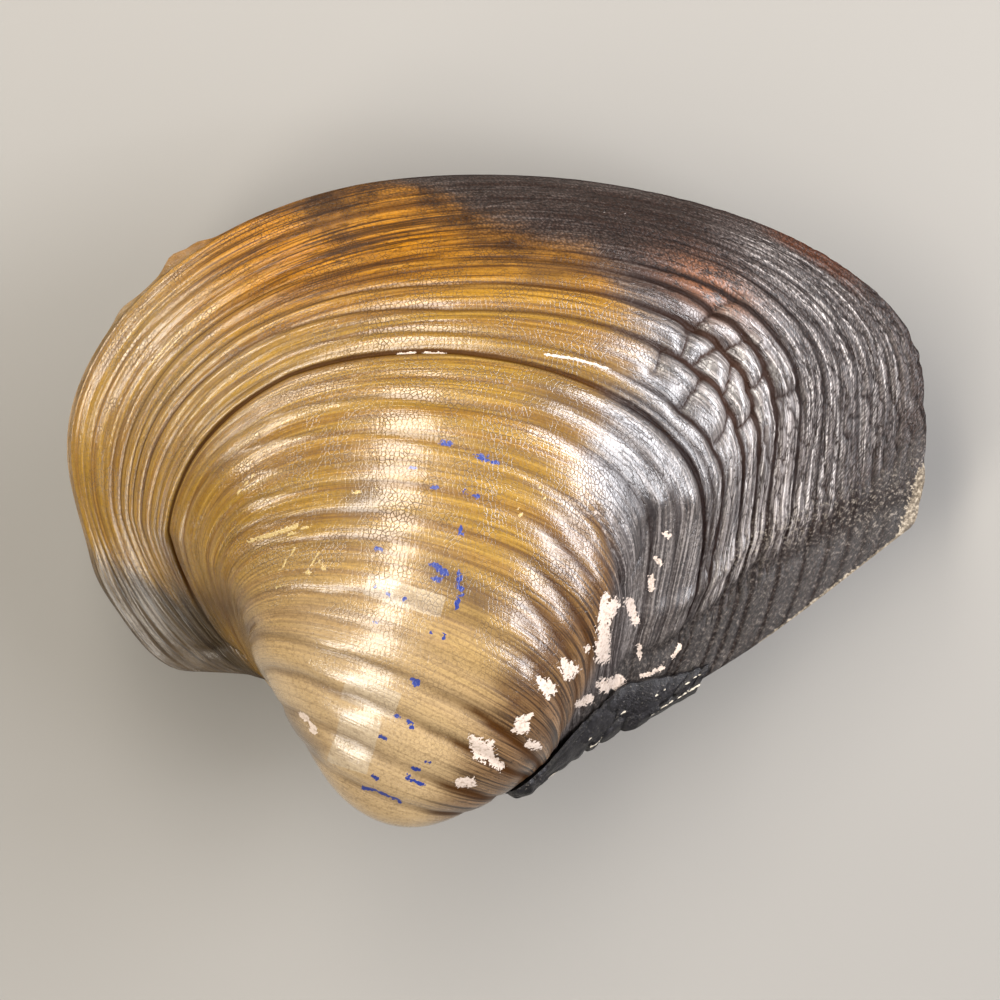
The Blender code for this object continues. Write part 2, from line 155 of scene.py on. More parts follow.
AGES = spaced((0.04, 5), (0.30, 44), (0.70, 82), (0.90, 128), (1.0, 62))
PLACES = spaced((0.10, 24), (0.62, 118), (0.90, 108), (1.0, 22))
AGE, PLACE = np.meshgrid(AGES, PLACES, indexing="ij")
SMOOTH = smooth_valve(AGES, PLACES)
NORMAL = outward(AGES, PLACES)
LINE_LENGTH = np.linalg.norm(np.diff(SMOOTH, axis=1), axis=2).sum(axis=1)
CREST_LENGTH = 80.0             # beak to free edge over the crest, in mm
AWAY = AGE * CREST_LENGTH       # mm from the beak
ALONG = (PLACE - 0.5) * LINE_LENGTH[:, None]    # mm from the middle of the growth line
print("grid", SMOOTH.shape, "edge length in mm", round(float(LINE_LENGTH[-1]), 1))

# %% [markdown]
# ## The folds
# The grooves are places where growth stopped. Each one is written as its age at seven
# places, because a groove drifts a little against the ideal growth line, and its depth at
# three. The shell swells into a cushion between two grooves. Real height in the mesh is
# used for them, since the light runs along their crests and they break up the outline too.

# %% Small helpers for soft steps, spots and wandering
def ease(value, start, end):
    """0 before start, 1 after end, smooth between."""
    t = np.clip((value - start) / (end - start), 0, 1)
    return t * t * (3 - 2 * t)


def spot(age, place, half_age, half_place):
    """A soft round spot, 1 in its middle."""
    return np.exp(-((AGE - age) / half_age)**2 - ((PLACE - place) / half_place)**2)


NOISE_CELLS = 64        # the noise repeats after this many bumps


def wander(u, v, seed):
    """Smooth noise from -1 to 1 with about one bump per unit of u and of v."""
    table = np.random.default_rng(seed).uniform(-1, 1, (NOISE_CELLS, NOISE_CELLS))
    i, j = np.floor(u).astype(int), np.floor(v).astype(int)
    fu, fv = ease(u - i, 0, 1), ease(v - j, 0, 1)
    i, j, after_i, after_j = (k % NOISE_CELLS for k in (i, j, i + 1, j + 1))
    near = table[i, j] * (1 - fu) + table[after_i, j] * fu
    far = table[i, after_j] * (1 - fu) + table[after_i, after_j] * fu
    return near * (1 - fv) + far * fv


def distance_to_stroke(u, v, points):
    """Distance of every (u, v) to a line through a few points."""
    nearest = np.full(u.shape, 1e9)
    for (u0, v0), (u1, v1) in zip(points, points[1:]):
        du, dv = u1 - u0, v1 - v0
        share = np.clip(((u - u0) * du + (v - v0) * dv) / (du * du + dv * dv + 1e-12), 0, 1)
        nearest = np.minimum(nearest, np.hypot(u - u0 - share * du, v - v0 - share * dv))
    return nearest


# %% The table of grooves
GROOVE_PLACES = (0.22, 0.36, 0.50, 0.65, 0.72, 0.78, 0.86)
DEPTH_PLACES = (0.25, 0.50, 0.75)
GROOVES = (     # ages at the seven places, depth in mm at the three
    ((0.128, 0.123, 0.124, 0.121, 0.120, 0.120, 0.120), (0.40, 0.45, 0.35)),
    ((0.187, 0.188, 0.184, 0.182, 0.181, 0.180, 0.180), (0.45, 0.55, 0.45)),
    ((0.245, 0.243, 0.251, 0.248, 0.247, 0.245, 0.243), (0.50, 0.65, 0.55)),
    ((0.311, 0.298, 0.303, 0.302, 0.295, 0.290, 0.285), (0.45, 0.65, 0.55)),
    ((0.352, 0.343, 0.346, 0.344, 0.338, 0.333, 0.330), (0.20, 0.28, 0.20)),
    ((0.388, 0.375, 0.388, 0.387, 0.385, 0.380, 0.370), (0.30, 0.42, 0.30)),
    ((0.430, 0.418, 0.422, 0.420, 0.405, 0.400, 0.390), (0.20, 0.28, 0.10)),
    ((0.466, 0.441, 0.449, 0.440, 0.427, 0.420, 0.410), (0.34, 0.36, 0.28)),
    ((0.507, 0.481, 0.484, 0.475, 0.463, 0.455, 0.440), (0.32, 0.38, 0.30)),
    ((0.548, 0.524, 0.524, 0.517, 0.504, 0.495, 0.480), (0.30, 0.36, 0.30)),
    ((0.595, 0.557, 0.552, 0.545, 0.533, 0.525, 0.510), (0.26, 0.26, 0.22)),
    ((0.647, 0.602, 0.582, 0.564, 0.556, 0.552, 0.545), (0.30, 0.34, 0.34)),
    ((0.678, 0.650, 0.632, 0.624, 0.625, 0.634, 0.640), (0.30, 0.36, 0.36)),
    ((0.692, 0.688, 0.669, 0.662, 0.662, 0.670, 0.680), (0.20, 0.20, 0.24)),
    ((0.706, 0.724, 0.715, 0.704, 0.700, 0.707, 0.731), (0.85, 0.80, 0.62)),
    ((0.728, 0.737, 0.724, 0.714, 0.712, 0.722, 0.740), (0.28, 0.10, 0.26)),
    ((0.752, 0.762, 0.743, 0.730, 0.732, 0.741, 0.750), (0.30, 0.22, 0.40)),
    ((0.776, 0.780, 0.758, 0.752, 0.752, 0.758, 0.770), (0.26, 0.06, 0.05)),
    ((0.812, 0.802, 0.778, 0.780, 0.783, 0.781, 0.793), (0.40, 0.34, 0.52)),
    ((0.845, 0.833, 0.815, 0.819, 0.824, 0.811, 0.815), (0.40, 0.28, 0.56)),
    ((0.862, 0.852, 0.836, 0.836, 0.838, 0.826, 0.825), (0.30, 0.08, 0.00)),
    ((0.887, 0.883, 0.857, 0.852, 0.851, 0.839, 0.835), (0.42, 0.24, 0.56)),
    ((0.909, 0.889, 0.872, 0.869, 0.875, 0.871, 0.868), (0.24, 0.12, 0.46)),
    ((0.928, 0.915, 0.900, 0.903, 0.904, 0.903, 0.897), (0.16, 0.14, 0.34)),
    ((0.945, 0.930, 0.914, 0.912, 0.916, 0.917, 0.920), (0.11, 0.12, 0.26)),
    ((0.957, 0.946, 0.932, 0.930, 0.932, 0.935, 0.940), (0.10, 0.12, 0.26)),
    ((0.968, 0.962, 0.950, 0.948, 0.948, 0.950, 0.955), (0.20, 0.12, 0.22)),
    ((0.983, 0.980, 0.972, 0.970, 0.969, 0.968, 0.970), (0.08, 0.10, 0.20)),
)
# how dark the grooves of the amber skin are painted, by age: partly painted shade, partly the stain
# that lies in them
GROOVE_SHADE_AND_STAIN_AGES = (0.10, 0.30, 0.36, 0.68, 0.70, 0.72, 0.76, 1.0)
GROOVE_SHADE_AND_STAIN = (0.32, 0.34, 0.34, 0.45, 1.0, 1.0, 0.75, 0.60)
# half width of a groove in units of age, by age
WIDTH_AGES, WIDTHS = (0.10, 0.30, 0.40, 0.70, 1.0), (0.015, 0.014, 0.0105, 0.0080, 0.0058)
print("grooves", len(GROOVES))

# mm of shell per unit of age, against the crest: growth lines crowd near the hinge
SPREAD = np.linalg.norm(np.gradient(SMOOTH, AGES, axis=0), axis=2) / CREST_LENGTH
ROOM = np.clip(1.3 * SPREAD, 0.15, 1.0)


def groove_relief(seed, lump_zone):
    """Height of the grooves in mm (below zero) and how far each point is down a crease, 0 to 1."""
    height, crease = np.zeros_like(AGE), np.zeros_like(AGE)
    for number, (ages, depths) in enumerate(GROOVES):
        line = np.interp(PLACES, GROOVE_PLACES, ages)
        row = np.full(PLACES.shape, number + 0.5)
        line = line + 0.0020 * wander(row, PLACES * 24, seed)
        width = np.interp(ages[3], WIDTH_AGES, WIDTHS)
        depth = np.interp(PLACES, DEPTH_PLACES, depths) * (1 + 0.45 * lump_zone)
        depth = depth * (0.85 + 0.25 * wander(row + 9, PLACES * 15, seed + 1))
        off = np.abs(AGE - line)
        soft = 0.16 * width
        sharp = np.exp(-(np.sqrt(off**2 + soft**2) - soft) / (width * (1 - 0.4 * lump_zone)))
        pillow = np.exp(-(off / (1.6 * width))**2)
        height -= depth * (sharp * (1 - 0.5 * lump_zone) + 0.5 * lump_zone * pillow)
        crease = np.maximum(crease, depth / 0.30 * np.exp(-(off / (0.50 * width))**2))
    return height, crease


# %% Crumpled lumps and creases behind the middle, where folds were cut across as they grew
LUMP_ZONE = (0.806, 0.735, 0.058, 0.062)
CREASES = (     # depth in mm, half width in mm, points (age, place)
    (0.55, 0.50, ((0.752, 0.675), (0.780, 0.6745))),
    (0.75, 0.55, ((0.735, 0.709), (0.753, 0.711), (0.783, 0.716))),
    (0.80, 0.55, ((0.745, 0.756), (0.762, 0.757), (0.784, 0.752))),
    (0.70, 0.50, ((0.786, 0.693), (0.817, 0.691))),
    (0.80, 0.52, ((0.786, 0.706), (0.798, 0.709), (0.824, 0.722))),
    (0.80, 0.52, ((0.787, 0.742), (0.795, 0.740), (0.822, 0.735))),
    (0.80, 0.55, ((0.782, 0.771), (0.790, 0.774), (0.812, 0.778))),
    (0.75, 0.50, ((0.822, 0.697), (0.833, 0.699), (0.853, 0.706))),
    (0.70, 0.48, ((0.824, 0.727), (0.831, 0.730), (0.850, 0.738))),
    (0.75, 0.50, ((0.813, 0.760), (0.822, 0.764), (0.845, 0.766))),
    (0.45, 0.50, ((0.854, 0.706), (0.860, 0.708), (0.875, 0.717))),
    (0.60, 0.50, ((0.838, 0.787), (0.847, 0.790), (0.871, 0.800))),
    (0.45, 0.45, ((0.848, 0.752), (0.865, 0.759))),
    (0.45, 0.45, ((0.572, 0.700), (0.553, 0.739), (0.548, 0.790), (0.556, 0.800))),
    (0.40, 0.40, ((0.618, 0.770), (0.613, 0.800), (0.590, 0.808))),
    (0.30, 0.35, ((0.585, 0.735), (0.582, 0.780))),
    (0.40, 0.30, ((0.940, 0.034), (0.860, 0.038), (0.739, 0.050))),
    (0.50, 0.45, ((0.705, 0.16), (0.694, 0.100), (0.690, 0.055), (0.600, 0.030))),
    (0.40, 0.60, ((0.34, 0.150), (0.34, 0.200))),
)
DOMES = (       # age, place, half age, half place, height in mm
    (0.652, 0.756, 0.020, 0.018, 0.60), (0.693, 0.777, 0.010, 0.012, 0.40),
    (0.668, 0.722, 0.014, 0.014, 0.35), (0.845, 0.898, 0.020, 0.012, 0.70),
    (0.780, 0.888, 0.030, 0.008, 0.25), (0.767, 0.731, 0.013, 0.018, 0.30),
    (0.767, 0.697, 0.012, 0.014, 0.20), (0.804, 0.725, 0.012, 0.012, 0.22),
    (0.800, 0.757, 0.012, 0.016, 0.25), (0.857, 0.787, 0.012, 0.010, 0.25),
)
RIDGE_AGES = (0.60, 0.785, 0.83, 0.88, 0.925, 0.96, 1.0)
RIDGE_PLACES = (0.885, 0.882, 0.881, 0.900, 0.920, 0.943, 0.956)
VALLEY_AGES = (0.60, 0.756, 0.839, 0.89, 0.93, 0.963, 1.0)
VALLEY_PLACES = (0.930, 0.922, 0.919, 0.933, 0.946, 0.956, 0.975)
MM_PER_AGE = 98.0               # on the crumpled part of the valve


def crumples(strength):
    """Height of creases and domes in mm, and how far each point is down a crease."""
    height = strength * sum(rise * spot(*where) for *where, rise in DOMES)
    crease = np.zeros_like(AGE)
    for depth, half_width, points in CREASES:
        length = float(np.interp(points[0][0], AGES, LINE_LENGTH))
        path = [(age * MM_PER_AGE, place * length) for age, place in points]
        off = distance_to_stroke(AGE * MM_PER_AGE, PLACE * length, path)
        sharp = np.exp(-(np.sqrt(off**2 + 0.006) - 0.08) / (0.45 * half_width))
        pillow = np.exp(-(off / (2.3 * half_width))**2)
        height = height - strength * depth * (0.42 * sharp + 0.58 * pillow)
        crease = np.maximum(crease, strength * depth / 0.6 * np.exp(-(off / (0.42 * half_width))**2))
    line = LINE_LENGTH[:, None]
    ridge = (PLACE - np.interp(AGE, RIDGE_AGES, RIDGE_PLACES)) * line
    valley = (PLACE - np.interp(AGE, VALLEY_AGES, VALLEY_PLACES)) * line
    behind = ease(AGE, 0.55, 0.72)
    height += behind * (0.45 * np.exp(-(ridge / 1.5)**2) - 0.48 * np.exp(-(valley / 1.1)**2))
    crease = np.maximum(crease, 0.7 * behind * np.exp(-(valley / 0.7)**2))
    return height, crease


# %% All the relief together
RIPPLE_LENGTH = 0.86            # mm from one ripple of the back part to the next


def relief(seed, strength):
    """Height of the skin above the smooth valve in mm, and the painted shade and stain of its creases,
    0 to 1.
    """
    lump_zone = strength * spot(*LUMP_ZONE)
    ends = ease(PLACE, 0.0, 0.03) * ease(PLACE, 1.0, 0.97)
    grooves, crease = groove_relief(seed, lump_zone)
    quiet = 1 - 0.55 * ease(PLACE, 0.89, 0.93)
    height = grooves * ROOM * quiet
    crumple, crumple_crease = crumples(strength)
    height += crumple

    outer = ease(AGE, 0.70, 0.76)
    fine = (0.038 * wander(AWAY / 1.0, ALONG / 14.0, seed + 2)
            + 0.026 * wander(AWAY / 0.55, ALONG / 9.0, seed + 3))
    height += fine * (0.7 + 0.7 * outer) * ease(AGE, 0.02, 0.1) * ROOM

    back = ease(PLACE, 0.745, 0.80) * ease(AGE, 0.69, 0.745) * ease(PLACE, 0.950, 0.925)
    back *= 1 - 0.7 * spot(0.80, 0.745, 0.05, 0.035)
    waver = (0.8 * wander(ALONG / 4.2, AWAY / 6.0, seed + 4)
             + 0.45 * wander(ALONG / 1.7, AWAY / 2.4, seed + 5)
             + 0.25 * wander(ALONG / 0.8, AWAY / 1.2, seed + 9))
    ripple = np.abs(np.sin(math.pi * (AWAY / RIPPLE_LENGTH + waver)))
    height += back * 0.26 * (ripple**0.55 - 0.7)

    slope = ease(PLACE, 0.875, 0.915) * ease(AGE, 0.1, 0.3)
    height += slope * (0.07 * wander(AWAY / 1.1, ALONG / 0.9, seed + 6)
                       + 0.22 * wander(AWAY / 6.0, ALONG / 2.6, seed + 7))
    lobe = ease(PLACE, 0.15, 0.07) * ease(AGE, 0.45, 0.65)
    height += lobe * (0.22 * wander(AWAY / 1.6, ALONG / 7.0, seed + 8)
                      + 0.10 * wander(AWAY / 0.7, ALONG / 4.0, seed + 8))
    # painted shade and stain: the grooves, the creases between the lumps, the valley behind the ridge
    # and the troughs of the ripples are darkened in colour by this field
    shade_and_stain = np.interp(AGE, GROOVE_SHADE_AND_STAIN_AGES, GROOVE_SHADE_AND_STAIN)
    shade_and_stain += (1 - shade_and_stain) * ease(PLACE, 0.60, 0.70)
    depth = np.maximum(crease * shade_and_stain * (0.3 + 0.7 * ROOM), crumple_crease)
    depth = np.maximum(depth, back * np.exp(-(ripple / 0.30)**2))
    return height * ends, np.clip(depth, 0, 1)


# %% The free edge: nicks at the back, flakes of the other valve at the front
RIGHT_EDGE = (  # place, half place, how far the edge moves outwards in mm
    (0.088, 0.022, 0.60), (0.872, 0.006, -0.35), (0.885, 0.003, -0.25), (0.915, 0.004, -0.30),
    (0.932, 0.003, 0.15), (0.952, 0.004, -0.30), (0.966, 0.003, 0.20), (0.983, 0.004, -0.35),
)
LEFT_EDGE = (
    (0.332, 0.011, 0.95), (0.350, 0.008, 0.55), (0.283, 0.010, 0.40), (0.088, 0.022, 0.55),
    (0.200, 0.030, 0.10), (0.90, 0.010, -0.20),
)


def edge_shift(table, seed):
    """How far each point near the free edge moves outwards, as a grid of vectors in mm."""
    out = SMOOTH[-1] - SMOOTH[-5]
    out[:, 2] = 0
    out /= np.linalg.norm(out, axis=1, keepdims=True) + 1e-9
    amount = sum(reach * np.exp(-((PLACES - place) / half)**2) for place, half, reach in table)
    ragged = 0.07 * wander(PLACES * 160, np.full(PLACES.shape, 3.5), seed)
    amount = amount + ragged * ease(PLACES, 0.5, 0.85)
    amount = amount * ease(PLACES, 0, 0.03) * ease(PLACES, 1, 0.97)
    return amount[None, :, None] * out[None] * ease(AGE, 0.965, 1.0)[..., None]


# %% [markdown]
# ## Where each colour lies
# The skin is amber where it is young and thin, pale where the beak is worn, brown where
# bands of growth crowd together, and silver grey to black behind the middle, where mud
# stained it. Each of these is a mask over age and place, kept on the mesh as an attribute
# that the material reads. Sharp edges are left to the material, which cuts the soft masks
# with a fine noise.

# %% Marks on the skin: half width in mm, then x, y of each point in mm from the beak
WORN_MARKS = (  # chips in the skin, down to the chalk
    (0.56, 22.5, 18.6, 21.4, 17.0, 21.3, 15.2), (0.66, 21.4, 15.4, 21.2, 13.2),
    (0.4, 24.0, 18.9, 24.6, 17.0), (0.3, 21.0, 17.2, 21.6, 19.6), (0.66, 17.4, 12.2, 18.0, 11.7),
    (0.26, 17.2, 12.9, 17.5, 11.0), (0.62, 15.3, 10.2, 15.8, 9.9), (0.24, 14.6, 11.0, 15.6, 9.0),
    (0.6, 12.9, 6.4, 12.8, 5.8), (0.22, 12.0, 5.4, 13.8, 7.2), (0.8, 8.3, 3.8, 9.2, 3.0),
    (0.36, 7.6, 4.8, 9.9, 2.2), (0.3, 8.0, 2.6, 9.6, 4.2), (0.44, 10.1, 2.0, 10.6, 1.6),
    (0.5, 6.4, 0.1, 7.4, 0.0), (0.62, 21.4, 10.1, 22.9, 10.5), (0.26, 26.4, 21.4, 26.3, 20.1),
    (0.24, 26.8, 23.4, 27.2, 22.9), (0.3, 19.7, 14.0, 19.7, 13.9), (0.42, 13.6, 4.0, 14.4, 3.8),
    (0.34, 18.8, 8.1, 20.0, 8.8), (0.2, 25.1, 14.2, 25.1, 13.0), (0.24, 27.7, 26.0, 28.1, 25.7),
    (0.28, -10.5, 7.1, -9.8, 6.6), (0.26, -9.4, 6.0, -8.9, 5.3),
    (0.13, 15.2, 44.7, 18.5, 44.2, 21.8, 43.2), (0.11, -0.4, 45.0, 1.6, 45.1),
    (0.12, 2.6, 45.1, 4.6, 45.0), (0.24, 25.0, 6.9, 27.6, 7.3), (0.16, 28.2, 7.9, 31.2, 10.8),
    (0.2, 28.6, 13.0, 29.4, 14.1), (0.18, 25.2, 11.0, 27.6, 12.0),
)
SCRATCHES = (
    (0.2, -15.6, 25.2, -13.0, 26.0, -10.6, 26.8), (0.1, -11.4, 25.9, -8.8, 27.0),
    (0.08, -12.4, 22.2, -10.8, 24.6), (0.07, -9.4, 22.4, -8.2, 24.4), (0.07, -8.0, 22.8, -9.0, 24.0),
    (0.1, -12.9, 20.4, -10.6, 20.6), (0.07, -10.8, 21.6, -7.6, 22.4), (0.08, -6.0, 30.0, -2.4, 30.6),
    (0.07, 12.0, 30.0, 12.8, 27.4), (0.08, 14.6, 31.0, 15.4, 29.2), (0.07, -16.8, 30.2, -14.8, 32.6),
)
INK_MARKS = (   # short strokes of an old pen, laid out so that nothing can be read
    (0.22, 4.4, 35.5, 5.4, 35.4), (0.27, 8.2, 34.1, 9.2, 33.8), (0.22, 9.8, 33.6, 10.3, 33.4),
    (0.18, 1.0, 33.0, 1.7, 32.9), (0.18, 6.6, 30.5, 7.2, 30.3), (0.19, 7.9, 30.0, 8.3, 29.9),
    (0.19, 3.4, 31.0, 3.9, 30.8), (0.22, 6.4, 26.7, 6.5, 26.0), (0.19, -2.4, 24.6, -1.8, 24.5),
    (0.27, 3.6, 22.8, 4.2, 22.5), (0.27, 4.3, 22.2, 4.7, 21.8), (0.19, 6.2, 21.4, 6.1, 20.6),
    (0.16, 0.5, 19.2, 0.8, 19.4), (0.16, 4.6, 15.6, 4.7, 15.2), (0.18, 1.5, 10.5, 1.9, 10.1),
    (0.19, -1.9, 5.1, -1.4, 4.8), (0.2, 0.8, 0.6, 1.6, 0.2), (0.19, 2.0, 0.0, 2.5, -0.2),
    (0.16, 2.7, 2.2, 3.1, 2.0), (0.24, 3.5, 22.9, 4.9, 22.0), (0.2, 3.6, 21.4, 4.2, 21.0),
    (0.2, 6.2, 22.2, 6.5, 21.2), (0.18, 6.5, 20.4, 6.6, 19.8), (0.2, 6.1, 19.2, 6.0, 18.4),
    (0.13, -2.4, 20.6, -2.3, 20.2), (0.15, -1.6, 20.2, -1.1, 19.7), (0.15, -2.6, 16.9, -2.0, 16.9),
    (0.13, 3.2, 15.7, 3.6, 15.4), (0.14, 1.4, 10.9, 2.0, 10.6), (0.13, -0.4, 7.0, 0.0, 6.7),
    (0.18, 0.9, 6.4, 1.4, 5.8), (0.17, -2.8, 0.8, -2.3, 0.4), (0.13, 1.2, 1.5, 2.2, 1.3),
    (0.16, -4.0, -0.6, -2.6, -0.9), (0.14, -2.2, -1.1, -1.0, -1.4), (0.16, -0.7, -1.7, 0.1, -2.1),
)
STAIN_MARKS = (
    (2.4, 16.5, 40.2, 21.5, 38.4), (1.7, 22.0, 37.0, 25.0, 33.0),
    (0.5, 18.2, 16.6, 14.6, 11.4, 11.8, 8.0), (0.45, 17.0, 15.4, 12.4, 12.2),
    (1.8, -20.4, 19.0, -17.4, 18.0), (1.1, -16.0, 16.2, -15.4, 15.4), (1.0, -24.2, 25.0, -22.2, 19.5),
    (1.5, -3.0, 30.2, -4.0, 29.4), (1.2, 4.0, 22.2, 8.6, 19.0), (1.0, -12.0, 6.5, -9.0, 3.4),
    (1.2, 12.0, 11.0, 16.0, 8.0), (1.6, 8.0, 60.0, 14.0, 57.0), (1.2, 14.0, 53.0, 20.0, 54.0),
)
FADED_FACETS = (    # middle, half length and half width in mm, turn in degrees
    ((-3.0, 9.1), (3.0, 1.45), -21), ((-4.7, 4.3), (2.2, 2.9), -17), ((0.6, 19.6), (4.2, 1.2), -17),
)
FACET_RAMP = 0.8    # mm over which a facet's field grows by 1
print("marks", sum(map(len, (WORN_MARKS, SCRATCHES, INK_MARKS, STAIN_MARKS, FADED_FACETS))))


def marks(strokes):
    """A field that is 1 on each stroke, 0.5 at its half width and 0 at twice that."""
    field = np.zeros_like(AGE)
    for half_width, *numbers in strokes:
        points = list(zip(numbers[::2], numbers[1::2]))
        off = distance_to_stroke(SMOOTH[..., 0], SMOOTH[..., 1], points)
        field = np.maximum(field, 1 - off / (2 * half_width))
    return field


def facets(table):
    """A field that is 0.5 on the edge of each oblong and grows inwards."""
    field = np.full_like(AGE, -1.0)
    for (x, y), (half_length, half_width), turn in table:
        cosine, sine = math.cos(math.radians(turn)), math.sin(math.radians(turn))
        east, north = SMOOTH[..., 0] - x, SMOOTH[..., 1] - y
        past = np.maximum(np.abs(east * cosine + north * sine) - half_length,
                          np.abs(north * cosine - east * sine) - half_width)
        field = np.maximum(field, 0.5 - past / FACET_RAMP)
    return field


# %% Masks over age and place
GREY_AGES = (0.00, 0.25, 0.45, 0.55, 0.60, 0.68, 0.80, 0.86, 0.90, 0.94, 1.00)
GREY_EDGE = (0.99, 0.965, 0.840, 0.740, 0.665, 0.655, 0.650, 0.620, 0.570, 0.540, 0.500)


def masks(seed, marked):
    """Every colour mask of a valve, by name."""
    drift = (0.9 * wander(AWAY / 6.0, ALONG / 5.0, seed)
             + 0.5 * wander(AWAY / 1.3, ALONG / 6.0, seed + 1)
             + 0.4 * wander(AWAY / 0.7, ALONG / 2.0, seed + 2))
    past = PLACE - np.interp(AGE, GREY_AGES, GREY_EDGE) + 0.014 * drift
    top = ease(AGE, 0.83, 0.90)
    grey = ease(past - 0.012 * (AGE < 0.68), -0.035, 0.045)
    brown_disc = ease(PLACE + 0.02 * drift, 0.60, 0.74) * ease(AGE, 0.08, 0.16) * ease(AGE, 0.66, 0.56)
    murky = ease(PLACE + 0.03 * drift, 0.64, 0.82) * ease(AGE, 0.05, 0.12) * ease(AGE, 0.64, 0.52)
    brown_top = ease(past + 0.05 * drift, -0.17, -0.02) * ease(AGE, 0.80, 0.88)
    beyond_ridge = PLACE - np.interp(AGE, RIDGE_AGES, RIDGE_PLACES)
    beyond_valley = PLACE - np.interp(AGE, VALLEY_AGES, VALLEY_PLACES)
    slope = ease(beyond_valley, -0.022, 0.004) * ease(AGE, 0.32, 0.48)
    slope = np.maximum(slope, 0.6 * ease(PLACE, 0.915, 0.94) * ease(AGE, 0.86, 0.92))
    to_edge = np.minimum((1 - AGE) * 60, (1 - PLACE) * LINE_LENGTH[:, None] * 0.8)
    frayed = 1 - to_edge / np.maximum(0.3, 1.1 + 0.5 * drift)
    frayed = ease(PLACE, 0.945, 0.965) * ease(AGE, 0.86, 0.90) * frayed
    return {
        "grey": grey, "brown": np.maximum(brown_disc, brown_top), "murky": murky, "slope": slope,
        "lobe": ease(PLACE + 0.01 * drift, 0.125, 0.085) * ease(AGE, 0.56, 0.74),
        "ashy": (ease(AGE, 0.72, 0.80) * ease(PLACE, 0.68, 0.76)
                 * ease(PLACE, 0.935, 0.90) * ease(AGE, 1.0, 0.95)),
        "crest": np.exp(-((beyond_ridge - 0.008) / 0.018)**2) * ease(AGE, 0.74, 0.80),
        "lumps": spot(*LUMP_ZONE), "pink": spot(0.875, 0.695, 0.030, 0.035),
        "pale": ease(AGE + 0.02 * drift, 0.52, 0.20),
        "faded": np.clip(facets(FADED_FACETS), -1, 1),
        "speckled": np.maximum(top * ease(past, -0.10, 0.0), slope),
        "top": ease(AGE, 0.74, 0.92) * ease(PLACE, 0.28, 0.40),
        "rusty": ease(AGE, 0.974, 0.984) * ease(PLACE, 0.73, 0.76) * ease(PLACE, 0.83, 0.79),
        "frayed": np.clip(frayed, 0, 1), "stain": np.clip(marks(STAIN_MARKS), 0, 1),
        "worn": marked * marks(WORN_MARKS), "ink": marked * marks(INK_MARKS),
        "scratch": marked * marks(SCRATCHES),
    }


# %% [markdown]
# ## Building a valve
# The outside is the grid of growth lines, pushed out by the relief. A flat rim and a
# smooth pearly bowl close it from within, because the real valve is a thick bowl and each
# piece is also kept as a solid. The inside is looked up with a ray from above, which keeps
# one wall thickness everywhere.

# %% Where the shell lies: the same turn and shift that the CAD gave it
MM = 0.001
HALF_GAP = 0.15                 # mm from the seam to each rim
LEFT_SHIFT = (-0.35, 0.12)      # mm from the right valve's outline to the left one's
LAID = (Matrix.Translation(Vector((-10.1370, -28.7822, 24.0937)) * MM)
        @ Matrix.Rotation(math.radians(-8.0), 4, "X") @ Matrix.Rotation(math.radians(5.0), 4, "Y")
        @ Matrix.Scale(MM, 4))
RIM_FREE, RIM_HINGE = 1.3, 6.0  # mm, width of the rim at the free edge and at the hinge
HINGE_SIDE = math.radians(75)
WALL = 2.4                      # mm
BOWL_CENTRE = np.array([7.5, 31.0])
BOWL_CORNER = 8                 # how square the bowl's profile is
BOWL_SECTORS = 72
BOWL_RINGS = (1.0, 0.97, 0.93, 0.87, 0.79, 0.69, 0.57, 0.44, 0.30, 0.15)


def edge_distance(boundary, angle):
    """Distance from the bowl's centre to the valve's edge in one direction."""
    direction = np.array([math.cos(angle), math.sin(angle)])
    start = boundary - BOWL_CENTRE
    end = np.roll(start, -1, axis=0)
    side_a = start[:, 0] * direction[1] - start[:, 1] * direction[0]
    side_b = end[:, 0] * direction[1] - end[:, 1] * direction[0]
    crosses = np.nonzero(side_a * side_b < 0)[0]
    share = side_a[crosses] / (side_a[crosses] - side_b[crosses])
    reach = (start[crosses] + (end[crosses] - start[crosses]) * share[:, None]) @ direction
    return float(reach[reach > 0].min())


def add_bowl(bm, tree, boundary):
    """The hollow side of a valve, ring by ring; gives back its outermost ring."""
    angles = np.linspace(0, 2 * math.pi, BOWL_SECTORS, endpoint=False)
    rings = []
    for share in BOWL_RINGS + (0.0,):
        ring = []
        for angle in angles if share else [0.0]:
            width = RIM_FREE + (RIM_HINGE - RIM_FREE) * max(0.0, math.cos(angle + HINGE_SIDE))
            reach = (edge_distance(boundary, angle) - width) * share
            x = BOWL_CENTRE[0] + reach * math.cos(angle)
            y = BOWL_CENTRE[1] + reach * math.sin(angle)
            height = HALF_GAP
            if share < 1:
                room = tree.ray_cast((x, y, 100), (0, 0, -1))[0].z - WALL - height
                height += max(0.0, room) * math.sqrt(1 - share**BOWL_CORNER)
            ring.append(bm.verts.new((x, y, height)))
        rings.append(ring)
    for outer, inner in zip(rings, rings[1:-1]):
        for k in range(BOWL_SECTORS):
            j = (k + 1) % BOWL_SECTORS
            bm.faces.new((inner[k], outer[k], outer[j], inner[j]))
    for a, b in zip(rings[-2], rings[-2][1:] + rings[-2][:1]):
        bm.faces.new((rings[-1][0], a, b))
    return rings[0]


# %% A finished mesh as a piece of the scene
SKIN_SHARP, HORN_SHARP = 70, 60     # degrees beyond which an edge is drawn sharp


def placed(name, data):
    """An object made of a mesh, a camera or a lamp, put into the scene."""
    made = bpy.data.objects.new(name, data)
    bpy.context.collection.objects.link(made)
    return made


